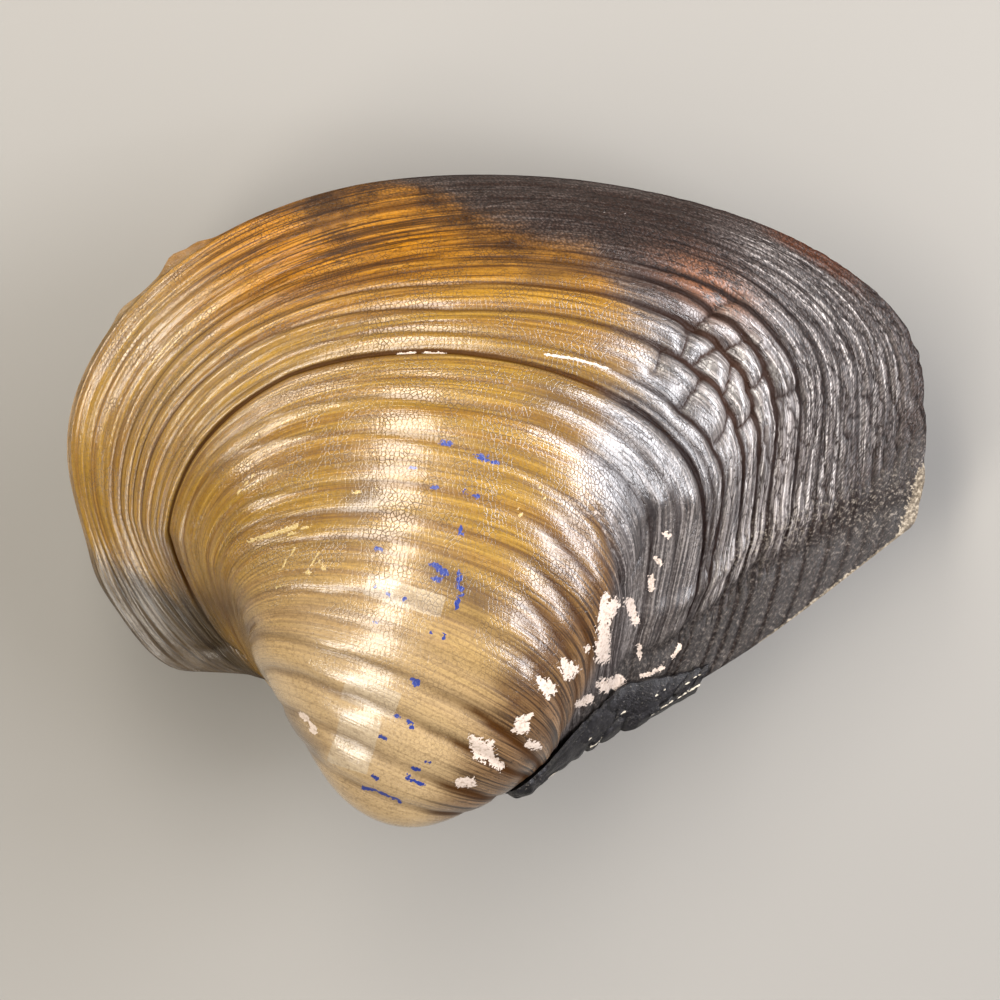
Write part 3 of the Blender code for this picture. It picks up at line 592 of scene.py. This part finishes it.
def make_piece(name, bm, fields, sharp, mirror=False):
    """A mesh with its fields as attributes, mirrored if asked, laid where the CAD laid it."""
    for face in bm.faces:
        face.smooth = True
    mesh = bpy.data.meshes.new(name)
    bm.to_mesh(mesh)
    bm.free()
    for key, values in fields.items():
        made = mesh.attributes.new(key, "FLOAT", "POINT")
        made.data.foreach_set("value", values.astype(np.float32))
    if mirror:
        mesh.transform(Matrix.Translation((*LEFT_SHIFT, 0)) @ Matrix.Diagonal((1, 1, -1, 1)))
        mesh.flip_normals()
    mesh.transform(LAID)
    for vert in mesh.vertices:
        vert.co.z = max(vert.co.z, 0.0)     # the spot it lies on is rubbed flat
    mesh.set_sharp_from_angle(angle=math.radians(sharp))
    print(name, "triangles", sum(len(face.vertices) - 2 for face in mesh.polygons))
    return placed(name, mesh)


# %% One valve as a closed mesh with its masks
def valve(name, height, shift, fields, mirror):
    """A valve drawn as the right one, then mirrored and shifted if it is the left one."""
    points = SMOOTH + height[..., None] * NORMAL + shift
    points[..., 2] = np.maximum(points[..., 2], 0.5 * SMOOTH[..., 2]) + HALF_GAP
    points[:, [0, -1], 2] = HALF_GAP
    points[-1, :, 2] = HALF_GAP
    rows, columns = points.shape[:2]

    bm = bmesh.new()
    beak = bm.verts.new((0.1, 0.05, HALF_GAP))
    grid = [[bm.verts.new(point) for point in row] for row in points[1:]]
    for left, right in zip(grid[0], grid[0][1:]):
        bm.faces.new((beak, right, left))
    for lower, upper in zip(grid, grid[1:]):
        for k in range(columns - 1):
            bm.faces.new((lower[k], lower[k + 1], upper[k + 1], upper[k]))
    tree = BVHTree.FromBMesh(bm)
    outside = len(bm.faces)

    edge = [beak] + [row[0] for row in grid] + grid[-1][1:] + [row[-1] for row in grid[-2::-1]]
    rim = add_bowl(bm, tree, np.array([vert.co.xy for vert in edge]))
    hollow = len(bm.faces)
    loops = [bm.edges.get(pair) for loop in (edge, rim) for pair in zip(loop, loop[1:] + loop[:1])]
    bmesh.ops.triangle_fill(bm, use_beauty=True, use_dissolve=False, edges=loops)
    bmesh.ops.recalc_face_normals(bm, faces=bm.faces[:])
    bm.faces.index_update()
    bm.faces.ensure_lookup_table()
    for number, face in enumerate(bm.faces):
        face.material_index = 1 if outside <= number < hollow else 0

    inner = len(bm.verts) - 1 - (rows - 1) * columns
    fields = {key: np.concatenate([[values[1, columns // 2]], values[1:].ravel(), np.zeros(inner)])
              for key, values in dict(fields, growth_x=AWAY, growth_y=ALONG).items()}
    return make_piece(name, bm, fields, SKIN_SHARP, mirror)


# %% Make both valves
pieces = {}
for name, seed, mirror in (("right_valve_skin", 11, False), ("left_valve_skin", 47, True)):
    height, depth = relief(seed, 0.6 if mirror else 1.0)
    shift = edge_shift(LEFT_EDGE if mirror else RIGHT_EDGE, seed + 12)
    # the groove field darkens the creases in colour: painted shade, partly stain
    fields = dict(masks(seed + 20, 0.0 if mirror else 1.0), groove=depth)
    pieces[name] = valve(name, height, shift, fields, mirror)

# %% [markdown]
# ## The ligament
# A strip of dark horn lies over the seam behind the beaks and pulls the valves open when
# the animal relaxes. Dried out, it cracks across and frays at its edges. It is made as a
# band between two grids of points, one under and one over it, both worked out from the
# growth lines it lies on.

# %% Sections of the ligament
LIGAMENT_FROM, LIGAMENT_TO = 0.19, 0.80     # ages of the growth lines at its ends
LIGAMENT_STEPS, SIDE_COLUMNS = 180, 14
LIGAMENT_THIN, LIGAMENT_CLEAR, SEAM_CLEAR = 0.30, 0.36, 0.46    # mm: at its edge, over skin and seam
LIGAMENT_PROFILE = (    # share of the way along it, thickness and reach onto each valve in mm
    (0.00, 0.50, 2.0), (0.05, 1.45, 3.4), (0.12, 1.35, 3.9), (0.20, 0.95, 4.2), (0.45, 0.90, 4.8),
    (0.68, 0.80, 5.0), (0.86, 0.50, 4.4), (1.00, 0.35, 2.4),
)


def ligament_section(age, reach, thick):
    """Points under and over the band at one age: right valve, seam, left valve."""
    row = smooth_rows(np.array([age]))[0]
    line = growth_line(row, np.linspace(0.5, 1, 40))
    length = 2 * np.linalg.norm(np.diff(line, axis=0), axis=1).sum()
    places = 1 - reach / length * np.linspace(1, 0.12, SIDE_COLUMNS)
    wall = smooth_valve([age], places)[0]
    normal = outward(np.array([age]), places)[0]
    wall[:, 2] += HALF_GAP
    ends = smooth_valve([age - 0.01, age + 0.01], np.array([1.0]))[:, 0, :2]
    run = (ends[1] - ends[0]) / np.linalg.norm(ends[1] - ends[0])
    away = np.array([run[1], -run[0], 0.0])
    seam = smooth_valve([age], np.array([1.0]))[0, 0] * (1, 1, 0)
    rise = LIGAMENT_THIN + (thick - LIGAMENT_THIN) * np.linspace(0, 1, SIDE_COLUMNS)**0.6
    below = wall + LIGAMENT_CLEAR * normal
    above = below + rise[:, None] * normal
    shift = np.array([*LEFT_SHIFT, 0.0])
    seam_below = seam + SEAM_CLEAR * away + shift / 2
    mirror = np.array([1.0, 1.0, -1.0])
    return (np.vstack([below, seam_below, (below * mirror + shift)[::-1]]),
            np.vstack([above, seam_below + thick * away, (above * mirror + shift)[::-1]]))


# %% The band, with flat facets, creases, cracks and a frayed edge
PALE_CRACKS = (     # half width, then points (mm along the band, -1 right valve to 1 left valve)
    (0.10, ((19.6, -0.62), (21.6, -0.80))), (0.10, ((23.0, -0.66), (24.4, -0.90))),
    (0.08, ((15.4, -0.62), (16.6, -0.72))), (0.09, ((8.6, -0.45), (9.6, -0.55))),
    (0.08, ((12.0, -0.30), (13.6, -0.36))),
    (0.17, ((16.6, -0.10), (19.0, -0.12))), (0.12, ((19.8, -0.16), (22.6, -0.20), (24.0, -0.24))),
    (0.08, ((4.2, -0.16), (5.6, -0.12))), (0.08, ((9.6, -0.06), (11.0, -0.06))),
)
DARK_GAP = (0.25, ((17.4, -0.24), (19.2, -0.26)))


def ligament_mesh(name, seed):
    """A closed band with its wear as attributes."""
    span = np.linspace(LIGAMENT_FROM, LIGAMENT_TO, 300)
    hinge = smooth_valve(span, np.array([1.0]))[:, 0, :2]
    run = np.concatenate([[0], np.cumsum(np.linalg.norm(np.diff(hinge, axis=0), axis=1))])
    far = np.linspace(0, run[-1], LIGAMENT_STEPS + 1)
    print("ligament length", round(run[-1], 1), "mm")
    fray = (0.45 * wander(far / 1.6, np.full(far.shape, 3.5), seed)
            + 0.30 * wander(far / 0.5, np.full(far.shape, 7.5), seed))
    share, thickness, reaches = np.array(LIGAMENT_PROFILE).T
    under, over = [], []
    for mm, age, torn in zip(far, np.interp(far, run, span), fray):
        thick, reach = (np.interp(mm / run[-1], share, values) for values in (thickness, reaches))
        below, above = ligament_section(age, reach + torn * 1.1, thick)
        under.append(below)
        over.append(above)
    under, over = np.array(under), np.array(over)
    width = under.shape[1]
    across = np.linspace(-1, 1, width)[None, :] * np.ones((LIGAMENT_STEPS + 1, 1))
    mm = far[:, None] * np.ones((1, width))
    reach = np.interp(mm / run[-1], share, reaches)
    side = across * reach                           # mm from the seam
    facet = wander(mm / 2.6 + 0.4 * wander(side / 2, mm / 3, seed + 1), side / 2.2 + 5, seed + 2)
    crease = np.clip(1 - np.abs(facet) / 0.16, 0, 1)
    wrinkle = 0.24 * np.abs(facet)**0.7 + 0.10 * wander(mm / 0.9, side / 1.0, seed + 4)
    knob = ease(mm, 4.5, 2.5)
    wrinkle = wrinkle + knob * 0.30 * wander(mm / 0.7, side / 0.7, seed + 6)

    def on_line(half_width, points):
        """A field that is 1 on a line along the band and 0 at twice its half width."""
        line = [(a, b * np.interp(a / run[-1], share, reaches)) for a, b in points]
        return np.clip(1 - distance_to_stroke(mm, side, line) / (2 * half_width), 0, 1)

    pale = np.maximum.reduce([on_line(*crack) for crack in PALE_CRACKS])
    gap = on_line(*DARK_GAP)
    inside = ease(1 - np.abs(across), 0.02, 0.2)
    lift = over - under
    lift /= np.linalg.norm(lift, axis=2, keepdims=True)
    rise = wrinkle - 0.16 * crease - 0.35 * ease(gap, 0, 1) + 0.12 * (pale > 0.2)
    over = over + (rise * inside)[..., None] * lift

    bm = bmesh.new()
    low = [[bm.verts.new(point) for point in row] for row in under]
    high = [[bm.verts.new(point) for point in row] for row in over]
    count = len(low)
    for i in range(count - 1):
        for k in range(width - 1):
            bm.faces.new((low[i][k], low[i][k + 1], low[i + 1][k + 1], low[i + 1][k]))
            bm.faces.new((high[i][k], high[i + 1][k], high[i + 1][k + 1], high[i][k + 1]))
        for k in (0, width - 1):
            bm.faces.new((low[i][k], low[i + 1][k], high[i + 1][k], high[i][k]))
    for i in (0, count - 1):
        for k in range(width - 1):
            bm.faces.new((low[i][k], low[i][k + 1], high[i][k + 1], high[i][k]))
    bmesh.ops.recalc_face_normals(bm, faces=bm.faces[:])
    fields = {"crack": np.clip(crease + ease(gap, 0.1, 0.5), 0, 1), "fibre": pale, "knob": knob}
    fields = {key: np.concatenate([np.zeros(values.size), values.ravel()])
              for key, values in fields.items()}
    return make_piece(name, bm, fields, HORN_SHARP)


pieces["ligament_band"] = ligament_mesh("ligament_band", 5)

# %% [markdown]
# ## Finishes
# The skin is periostracum, a thin brown horn like a fingernail, dried and rubbed with oil,
# so it shines in strips along each fold. Under it the shell is chalk, which shows as dull
# pinkish white where the skin has chipped. One small function adds a node, and each
# material lists its layers from the bottom up.

# %% Colour and node helpers
def srgb(text):
    """A hex colour as linear RGBA."""
    channels = [int(text[k:k + 2], 16) / 255 for k in (1, 3, 5)]
    return [c / 12.92 if c <= 0.04045 else ((c + 0.055) / 1.055)**2.4 for c in channels] + [1.0]


def add(tree, kind, inputs, out=0, **settings):
    """Adds one node, sets it up, fills or links its inputs and gives back one output."""
    made = tree.nodes.new("ShaderNode" + kind)
    for key, value in settings.items():
        setattr(made, key, value)
    for socket, value in inputs.items():
        if isinstance(value, bpy.types.NodeSocket):
            tree.links.new(value, made.inputs[socket])
        else:
            made.inputs[socket].default_value = value
    return made.outputs[out]


def new_material(name, **fixed):
    """A Principled material; numbers that are the same all over go on the shader's sockets."""
    made = bpy.data.materials.new(name)
    made.use_nodes = True
    shader = made.node_tree.nodes["Principled BSDF"]
    for key, value in fixed.items():
        shader.inputs[key.replace("_", " ")].default_value = value
    return made, made.node_tree, shader


# %% [markdown]
# ## The skin, layer by layer
# Each look of the skin is a share of a few named fields multiplied together: a mask says
# where it lies, a noise breaks it up. Kept as tables, a colour is one short row, and the
# rows cover each other in their order. The same fields dull the shine and raise the finest
# relief, so that colour, shine and relief agree.

# %% Fields of the skin: masks kept on the mesh, then noises, soft steps and ragged edges
SKIN_MASKS = (
    "grey", "brown", "murky", "lobe", "pale", "faded", "ashy", "crest", "slope", "pink", "lumps",
    "speckled", "top", "rusty", "frayed", "stain", "worn", "ink", "scratch", "groove",
    "growth_x", "growth_y",
)
LINE_NOISES = (     # name, bumps per mm across and along the growth lines, detail, roughness
    ("fine", 3.2, 0.06, 2.0, 0.70),     # growth lines about 0.1 mm apart, drawn 0.3 mm apart to show
    ("band", 0.9, 0.035, 1.0, 0.50),    # lighter and darker bands about 1 mm wide
    ("vein", 1.0, 0.17, 3.0, 0.55),     # dark lines where one growth edge laps over the last
    ("ray", 0.35, 2.3, 1.0, 0.50),      # faint rays across the growth lines
)
ROUND_NOISES = (    # name, bumps per mm, detail, roughness
    ("cloud", 0.25, 3.0, 0.60),
    ("grain", 2.6, 2.0, 0.70),          # grit and dried mud, grains of 0.2 to 0.4 mm
)
CELL_NOISES = (     # name, cells per mm, what is measured
    ("net", 2.2, "DISTANCE_TO_EDGE"),   # drying cracks: a net with meshes of about 0.45 mm
    ("pebble", 3.2, "F1"),
)
SKIN_STEPS = (      # name, field it is made from, where it is 0, where it is 1
    ("dark_line", "fine", 0.50, 0.36), ("light_line", "fine", 0.53, 0.66),
    ("band_dark", "band", 0.55, 0.36), ("cloud_dark", "cloud", 0.42, 0.60),
    ("grit", "grain", 0.52, 0.34), ("dusty", "grain", 0.52, 0.66),
    ("net_line", "net", 0.13, 0.03), ("vein", "off_vein", 0.030, 0.004),
    ("speck", "pebble", 0.25, 0.50),
)
RAGGED_EDGES = (    # mask, share of the grain, where the edge starts and ends
    ("faded", 0.3, 0.60, 0.72), ("worn", 1.6, 1.22, 1.28), ("ink", 1.4, 1.10, 1.16),
    ("scratch", 1.2, 1.02, 1.17), ("frayed", 0.8, 0.72, 0.86),
)
NET_IN_CLOUDS, NET_ALL_OVER, NET_ON_PALE = 0.65, 0.28, 0.35     # how much of the net shows

# %% The colours of the skin, from the bottom up: share, the fields it is multiplied by, colour
AMBER_PALE, AMBER_DEEP = "#66512A", "#7C5E1D"
SKIN_LAYERS = (
    (0.60, "band_dark", "#654212"), (0.80, "top", "#9C6207"),
    (0.40, "dark_line", "#4E320C"), (0.30, "light_line", "#AE8B4C"),
    (0.85, "pale", "#A48E6C"), (0.50, "faded", "#B0A490"),
    (0.22, "dark_line", "#4E320C"), (0.30, "grit", "#3A240C"),
    (0.75, "top band_dark", "#3A1E04"), (0.85, "top dark_line", "#2E1A05"),
    (0.70, "stain", "#3B2919"),
    (0.62, "brown", "#583C20"), (0.65, "brown dark_line", "#1B0F07"),
    (0.75, "brown top cloud_dark", "#24140A"),
    (0.75, "murky", "#46301F"), (0.85, "murky dark_line", "#0F0804"),
    (0.85, "murky vein", "#140B06"), (0.50, "murky light_line", "#86684A"),
    # the creases of the amber skin darkened: painted shade, partly stain
    (0.95, "groove", "#351D05"),
    (0.95, "grey", "#4C4644"), (0.60, "grey dusty", "#807A76"),
    (0.60, "grey band_dark", "#211A1A"), (0.85, "grey dark_line", "#171213"),
    (0.60, "grey grit", "#130F10"), (0.45, "grey light_line", "#8A8481"),
    (0.72, "grey top", "#25150D"),
    (0.60, "ashy", "#7D7673"), (0.70, "ashy light_line", "#C4BDB9"),
    (0.70, "ashy dark_line", "#1A1414"),
    (0.80, "pink", "#7C4E31"), (0.85, "grey vein", "#110A0A"),
    # grey groove and lumps groove: painted shade in the creases of the grey skin, browner among the
    # lumps
    (0.60, "top vein", "#1E0F04"), (0.97, "grey groove", "#120A09"),
    (0.60, "lumps groove", "#3A261B"),
    (0.90, "lobe", "#3E372D"), (0.80, "lobe dark_line", "#17110C"),
    (0.85, "slope", "#302B28"), (0.60, "slope dusty", "#665E58"),
    # slope groove: painted shade in the creases of the slope
    (0.80, "slope grit", "#0D0A0A"), (0.25, "slope groove", "#110B0A"),
    (0.60, "crest dusty", "#857C71"), (0.60, "crest grit", "#1C1310"),
    (0.72, "net_here", "#22130A"), (0.80, "rusty", "#42200A"),
    (0.60, "speckled speck", "#0A0707"),
    (1.0, "frayed", "#665C4E"), (0.75, "frayed grit", "#221A14"), (0.7, "frayed dusty", "#9A9080"),
    (0.65, "scratch", "#B09B66"),
    (1.0, "worn", "#B3A498"), (0.5, "worn grit", "#6E5C49"),
    (1.0, "ink", "#222F6B"),
)

# %% The shine of the skin and its finest relief
SKIN_SHINE = {      # value of the clean skin (or the field that gives it), then share, fields, value
    "Roughness": (
        "satin", (0.9, "grey", 0.40), (0.7, "net_here", 0.6), (0.6, "groove", 0.6),
        (1.0, "frayed", 0.8), (1.0, "worn", 0.7), (0.9, "slope", 0.68)),
    "Coat Weight": (
        0.75, (1.0, "grey", 0.60), (1.6, "top", 0.14), (1.0, "murky", 0.12), (1.0, "lobe", 0.40),
        (1.0, "lumps", 0.95), (0.8, "net_here", 0.1), (1.0, "worn", 0.0), (1.0, "frayed", 0.0),
        (1.0, "slope", 0.06), (1.0, "groove", 0.0)),
    "Coat Roughness": (0.08, (1.0, "grey", 0.22), (1.0, "lobe", 0.22), (1.0, "lumps", 0.15)),
    "Specular IOR Level": (
        0.50, (1.0, "grey", 0.80), (1.4, "top", 0.14), (1.0, "lobe", 0.35), (1.0, "murky", 0.30),
        (1.0, "lumps", 1.0), (1.0, "slope", 0.40), (1.0, "worn", 0.40), (1.0, "groove", 0.08)),
}
SKIN_BUMPS = (      # height in mm, fields
    (0.022, "fine"), (-0.014, "net_here"), (0.008, "grain"), (0.008, "grain grey"),
    (-0.04, "speckled pebble"), (-0.05, "worn"), (0.02, "scratch"), (-0.03, "grey vein"),
    (0.012, "ray"),
)


# %% The horn skin of the valves
def skin_fields(tree):
    """Every field that the skin's colours, shine and relief are made from, by name."""
    field = {key: add(tree, "Attribute", {}, 2, attribute_name=key) for key in SKIN_MASKS}
    growth = add(tree, "CombineXYZ", {0: field["growth_x"], 1: field["growth_y"]})
    mm = add(tree, "VectorMath", {0: add(tree, "TexCoord", {}, 3), 3: 1 / MM}, operation="SCALE")
    for key, across, along, detail, rough in LINE_NOISES:
        at = add(tree, "VectorMath", {0: growth, 1: (across, along, 1.0)}, operation="MULTIPLY")
        field[key] = add(tree, "TexNoise", {"Vector": at, "Scale": 1.0, "Detail": detail,
                                            "Roughness": rough}, noise_dimensions="2D")
    for key, scale, detail, rough in ROUND_NOISES:
        field[key] = add(tree, "TexNoise", {"Vector": mm, "Scale": scale, "Detail": detail,
                                            "Roughness": rough})
    for key, scale, measured in CELL_NOISES:
        field[key] = add(tree, "TexVoronoi", {"Vector": growth, "Scale": scale},
                         voronoi_dimensions="2D", feature=measured)
    off = add(tree, "Math", {0: field["vein"], 1: -0.5})
    field["off_vein"] = add(tree, "Math", {0: off, 1: 0.0}, operation="ABSOLUTE")
    for key, source, zero, one in SKIN_STEPS:
        field[key] = add(tree, "MapRange", {0: field[source], 1: zero, 2: one, 3: 0.0, 4: 1.0})
    for key, ragged, zero, one in RAGGED_EDGES:
        rough = add(tree, "Math", {0: field["grain"], 1: ragged, 2: field[key]},
                    operation="MULTIPLY_ADD")
        field[key] = add(tree, "MapRange", {0: rough, 1: zero, 2: one, 3: 0.0, 4: 1.0})
    field["satin"] = add(tree, "MapRange", {0: field["fine"], 1: 0.3, 2: 0.7, 3: 0.34, 4: 0.22})

    # the drying cracks show most in darker clouds and least on the pale beak
    share = add(tree, "Math", {0: field["cloud_dark"], 1: NET_IN_CLOUDS, 2: NET_ALL_OVER},
                operation="MULTIPLY_ADD")
    less = add(tree, "Math", {0: share, 1: NET_ON_PALE}, operation="MULTIPLY")
    share = add(tree, "Mix", {0: field["pale"], 2: share, 3: less})
    field["net_here"] = add(tree, "Math", {0: field["net_line"], 1: share}, operation="MULTIPLY")
    return field


def horn_skin(name, warm):
    """Periostracum over chalk. Warm is how amber the young skin is, 0 to 1."""
    made, tree, shader = new_material(name, IOR=1.48, Metallic=0.0, Coat_IOR=1.50)
    field = skin_fields(tree)

    def part_of(share, names):
        """A number multiplied by the fields named in a text."""
        for key in names.split():
            share = add(tree, "Math", {0: share, 1: field[key]}, operation="MULTIPLY")
        return share

    colour = add(tree, "Mix", {0: warm, 6: srgb(AMBER_PALE), 7: srgb(AMBER_DEEP)}, 2, data_type="RGBA")
    for share, names, tone in SKIN_LAYERS:
        colour = add(tree, "Mix", {0: part_of(share, names), 6: colour, 7: srgb(tone)}, 2,
                     data_type="RGBA")
    tree.links.new(colour, shader.inputs["Base Color"])
    for socket, (value, *steps) in SKIN_SHINE.items():
        value = field.get(value, value)
        for share, names, towards in steps:
            value = add(tree, "Mix", {0: part_of(share, names), 2: value, 3: towards})
        tree.links.new(value, shader.inputs[socket])

    # heights in mm, turned into a slope by one bump node
    height = 0.0
    for amount, names in SKIN_BUMPS:
        height = add(tree, "Math", {0: part_of(amount, names), 1: height})
    bump = add(tree, "Bump", {"Height": height, "Strength": 1.0, "Distance": MM})
    tree.links.new(bump, shader.inputs["Normal"])
    tree.links.new(bump, shader.inputs["Coat Normal"])
    print(name, "layers", len(SKIN_LAYERS), "nodes", len(tree.nodes))
    return made


# %% Nacre and horn
# mother of pearl: smooth layers of chalk as thin as light waves, so it glows with faint colour
nacre = new_material("nacre_polished_by_growth", Base_Color=srgb("#DDD8D6"), Roughness=0.22,
                     IOR=1.6, Coat_Weight=0.3, Thin_Film_Thickness=380.0)[0]


def dried_horn(name):
    """The ligament: black springy horn, dried and cracked, with paler torn fibres."""
    made, tree, shader = new_material(name, IOR=1.54, Metallic=0.0, Specular_IOR_Level=0.25)
    crack, fibre, knob = (add(tree, "Attribute", {}, 2, attribute_name=key)
                          for key in ("crack", "fibre", "knob"))
    mm = add(tree, "VectorMath", {0: add(tree, "TexCoord", {}, 3), 3: 1 / MM}, operation="SCALE")
    grain = add(tree, "TexNoise", {"Vector": mm, "Scale": 2.2, "Detail": 4.0, "Roughness": 0.65})
    dust = add(tree, "TexNoise", {"Vector": mm, "Scale": 4.5, "Detail": 2.0, "Roughness": 0.7})
    shade = add(tree, "MapRange", {0: grain, 1: 0.35, 2: 0.75, 3: 0.0, 4: 1.0})
    speck = add(tree, "MapRange", {0: dust, 1: 0.62, 2: 0.70, 3: 0.0, 4: 1.0})
    dusted = add(tree, "Math", {0: knob, 1: 0.35, 2: 0.35}, operation="MULTIPLY_ADD")
    speck = add(tree, "Math", {0: speck, 1: dusted}, operation="MULTIPLY")
    torn = add(tree, "Math", {0: grain, 1: 0.8, 2: fibre}, operation="MULTIPLY_ADD")
    pale = add(tree, "MapRange", {0: torn, 1: 0.90, 2: 1.0, 3: 0.0, 4: 1.0})
    colour = add(tree, "Mix", {0: shade, 6: srgb("#0B0A0B"), 7: srgb("#1F1D20")}, 2, data_type="RGBA")
    for factor, tone in ((crack, srgb("#070607")), (speck, srgb("#78726A")), (pale, srgb("#ADA596"))):
        colour = add(tree, "Mix", {0: factor, 6: colour, 7: tone}, 2, data_type="RGBA")
    tree.links.new(colour, shader.inputs["Base Color"])
    rough = add(tree, "MapRange", {0: grain, 1: 0.3, 2: 0.7, 3: 0.36, 4: 0.58})
    tree.links.new(add(tree, "Mix", {0: pale, 2: rough, 3: 0.8}), shader.inputs["Roughness"])
    height = add(tree, "Math", {0: grain, 1: dust})
    bump = add(tree, "Bump", {"Height": height, "Strength": 1.0, "Distance": 0.06 * MM})
    tree.links.new(bump, shader.inputs["Normal"])
    return made


# %% Put the finishes on and hand each piece to the frame
FINISH = {
    "right_valve_skin": (horn_skin("periostracum_amber_oiled", 1.0), nacre),
    "left_valve_skin": (horn_skin("periostracum_brown_oiled", 0.4), nacre),
    "ligament_band": (dried_horn("ligament_horn_dried"),),
}
STANDS_FOR = {"right_valve_skin": "right_valve", "left_valve_skin": "left_valve",
              "ligament_band": "ligament"}
for name, piece in pieces.items():
    for look in FINISH[name]:
        piece.data.materials.append(look)
    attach(piece, "root")
    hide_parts(STANDS_FOR[name])

# %% [markdown]
# ## Floor, camera and light
# The shell lies on its left valve on a pale table and is seen from straight above the seam
# between the valves. Seven soft strips hang around the camera, each from one direction to
# another as seen from the shell. A fold catches such a strip as a long highlight, which is
# what makes the skin look polished.

# %% The floor
FLOOR = 2.0             # metres from its middle to each side
floor_mesh = bpy.data.meshes.new("table_top")
corners = [(x * FLOOR, y * FLOOR, 0.0) for x, y in ((-1, -1), (1, -1), (1, 1), (-1, 1))]
floor_mesh.from_pydata(corners, [], [(0, 1, 2, 3)])
floor = placed("table_top", floor_mesh)
paper = new_material("paper_matt_pale", Base_Color=srgb("#7C7A76"), Roughness=0.9)[0]
floor.data.materials.append(paper)

# %% The camera, square to the plane where the valves meet
VIEW_RIGHT = Vector((0.9962, -0.0121, -0.0863)).normalized()
VIEW_BACK = Vector((0.0872, 0.1386, 0.9865)).normalized()
VIEW_UP = VIEW_BACK.cross(VIEW_RIGHT).normalized()
VIEW_RIGHT = VIEW_UP.cross(VIEW_BACK)
AIM = LAID @ Vector((10.48, 29.50, 0.0))    # what lies in the middle of the picture, in mm
CAMERA_AWAY, SENSOR = 1.4, 36.0             # metres, mm
PICTURE_WIDTH = 0.1048                      # what the picture's width covers at the seam, in metres
camera_data = bpy.data.cameras.new("camera")
camera_data.sensor_width = SENSOR
camera_data.lens = SENSOR * CAMERA_AWAY / PICTURE_WIDTH
camera_data.clip_start, camera_data.clip_end = 0.05, 10.0
camera = placed("camera", camera_data)
print("camera", CAMERA_AWAY, "m away, lens", round(camera_data.lens, 1), "mm")


def facing(right, up, back, at):
    """A matrix that looks along -back from a point."""
    turned = Matrix((right, up, back)).transposed().to_4x4()
    turned.translation = at
    return turned


camera.matrix_world = facing(VIEW_RIGHT, VIEW_UP, VIEW_BACK, AIM + VIEW_BACK * CAMERA_AWAY)
bpy.context.scene.camera = camera

# %% The lights: strips hung from one direction to another, as seen from the shell
LIGHT_AWAY = 0.60       # metres from the shell
LIGHTS = (      # name, colour, from and to (right, up, towards the camera), width in m, radiance
    ("strip_left_top", "#FFF6E6", (-0.93, 0.08, 0.38), (-0.36, 0.92, 0.16), 0.070, 19.0),
    ("strip_disc_upper", "#FFF8EE", (-0.14, 0.72, 0.67), (-0.20, 0.20, 0.96), 0.130, 16.0),
    ("strip_disc_lower", "#FFF8EE", (-0.20, 0.20, 0.96), (-0.48, -0.46, 0.75), 0.120, 15.0),
    ("strip_umbo", "#FFF8EE", (-0.50, -0.48, 0.72), (-0.74, -0.62, 0.26), 0.115, 13.0),
    ("strip_right", "#FBFBFF", (0.66, 0.34, 0.67), (0.60, -0.34, 0.73), 0.100, 18.0),
    ("strip_lumps", "#FAFAFF", (0.42, 0.70, 0.56), (0.92, -0.06, 0.42), 0.140, 22.0),
    ("strip_far_right", "#FAFAFF", (0.78, -0.12, 0.62), (0.80, -0.46, 0.40), 0.100, 23.0),
)
for name, tint, start, stop, width, radiance in LIGHTS:
    ends = [(VIEW_RIGHT * right + VIEW_UP * up + VIEW_BACK * back).normalized() * LIGHT_AWAY
            for right, up, back in (start, stop)]
    along, way = ends[1] - ends[0], (ends[0] + ends[1]).normalized()
    lamp = bpy.data.lights.new(name, "AREA")
    lamp.shape, lamp.size, lamp.size_y = "RECTANGLE", width, along.length
    lamp.color = srgb(tint)[:3]
    lamp.energy = radiance * math.pi * width * along.length
    made = placed(name, lamp)
    along.normalize()
    middle = AIM + (ends[0] + ends[1]) / 2
    made.matrix_world = facing(along.cross(way).normalized(), along, way, middle)
    made.visible_camera = False
    print(name, "watts", round(lamp.energy, 2))
world = bpy.data.worlds.new("studio")
world.use_nodes = True
world.node_tree.nodes["Background"].inputs["Color"].default_value = srgb("#E8ECF2")
world.node_tree.nodes["Background"].inputs["Strength"].default_value = 0.07
bpy.context.scene.world = world
bpy.context.scene.view_settings.view_transform = "Standard"
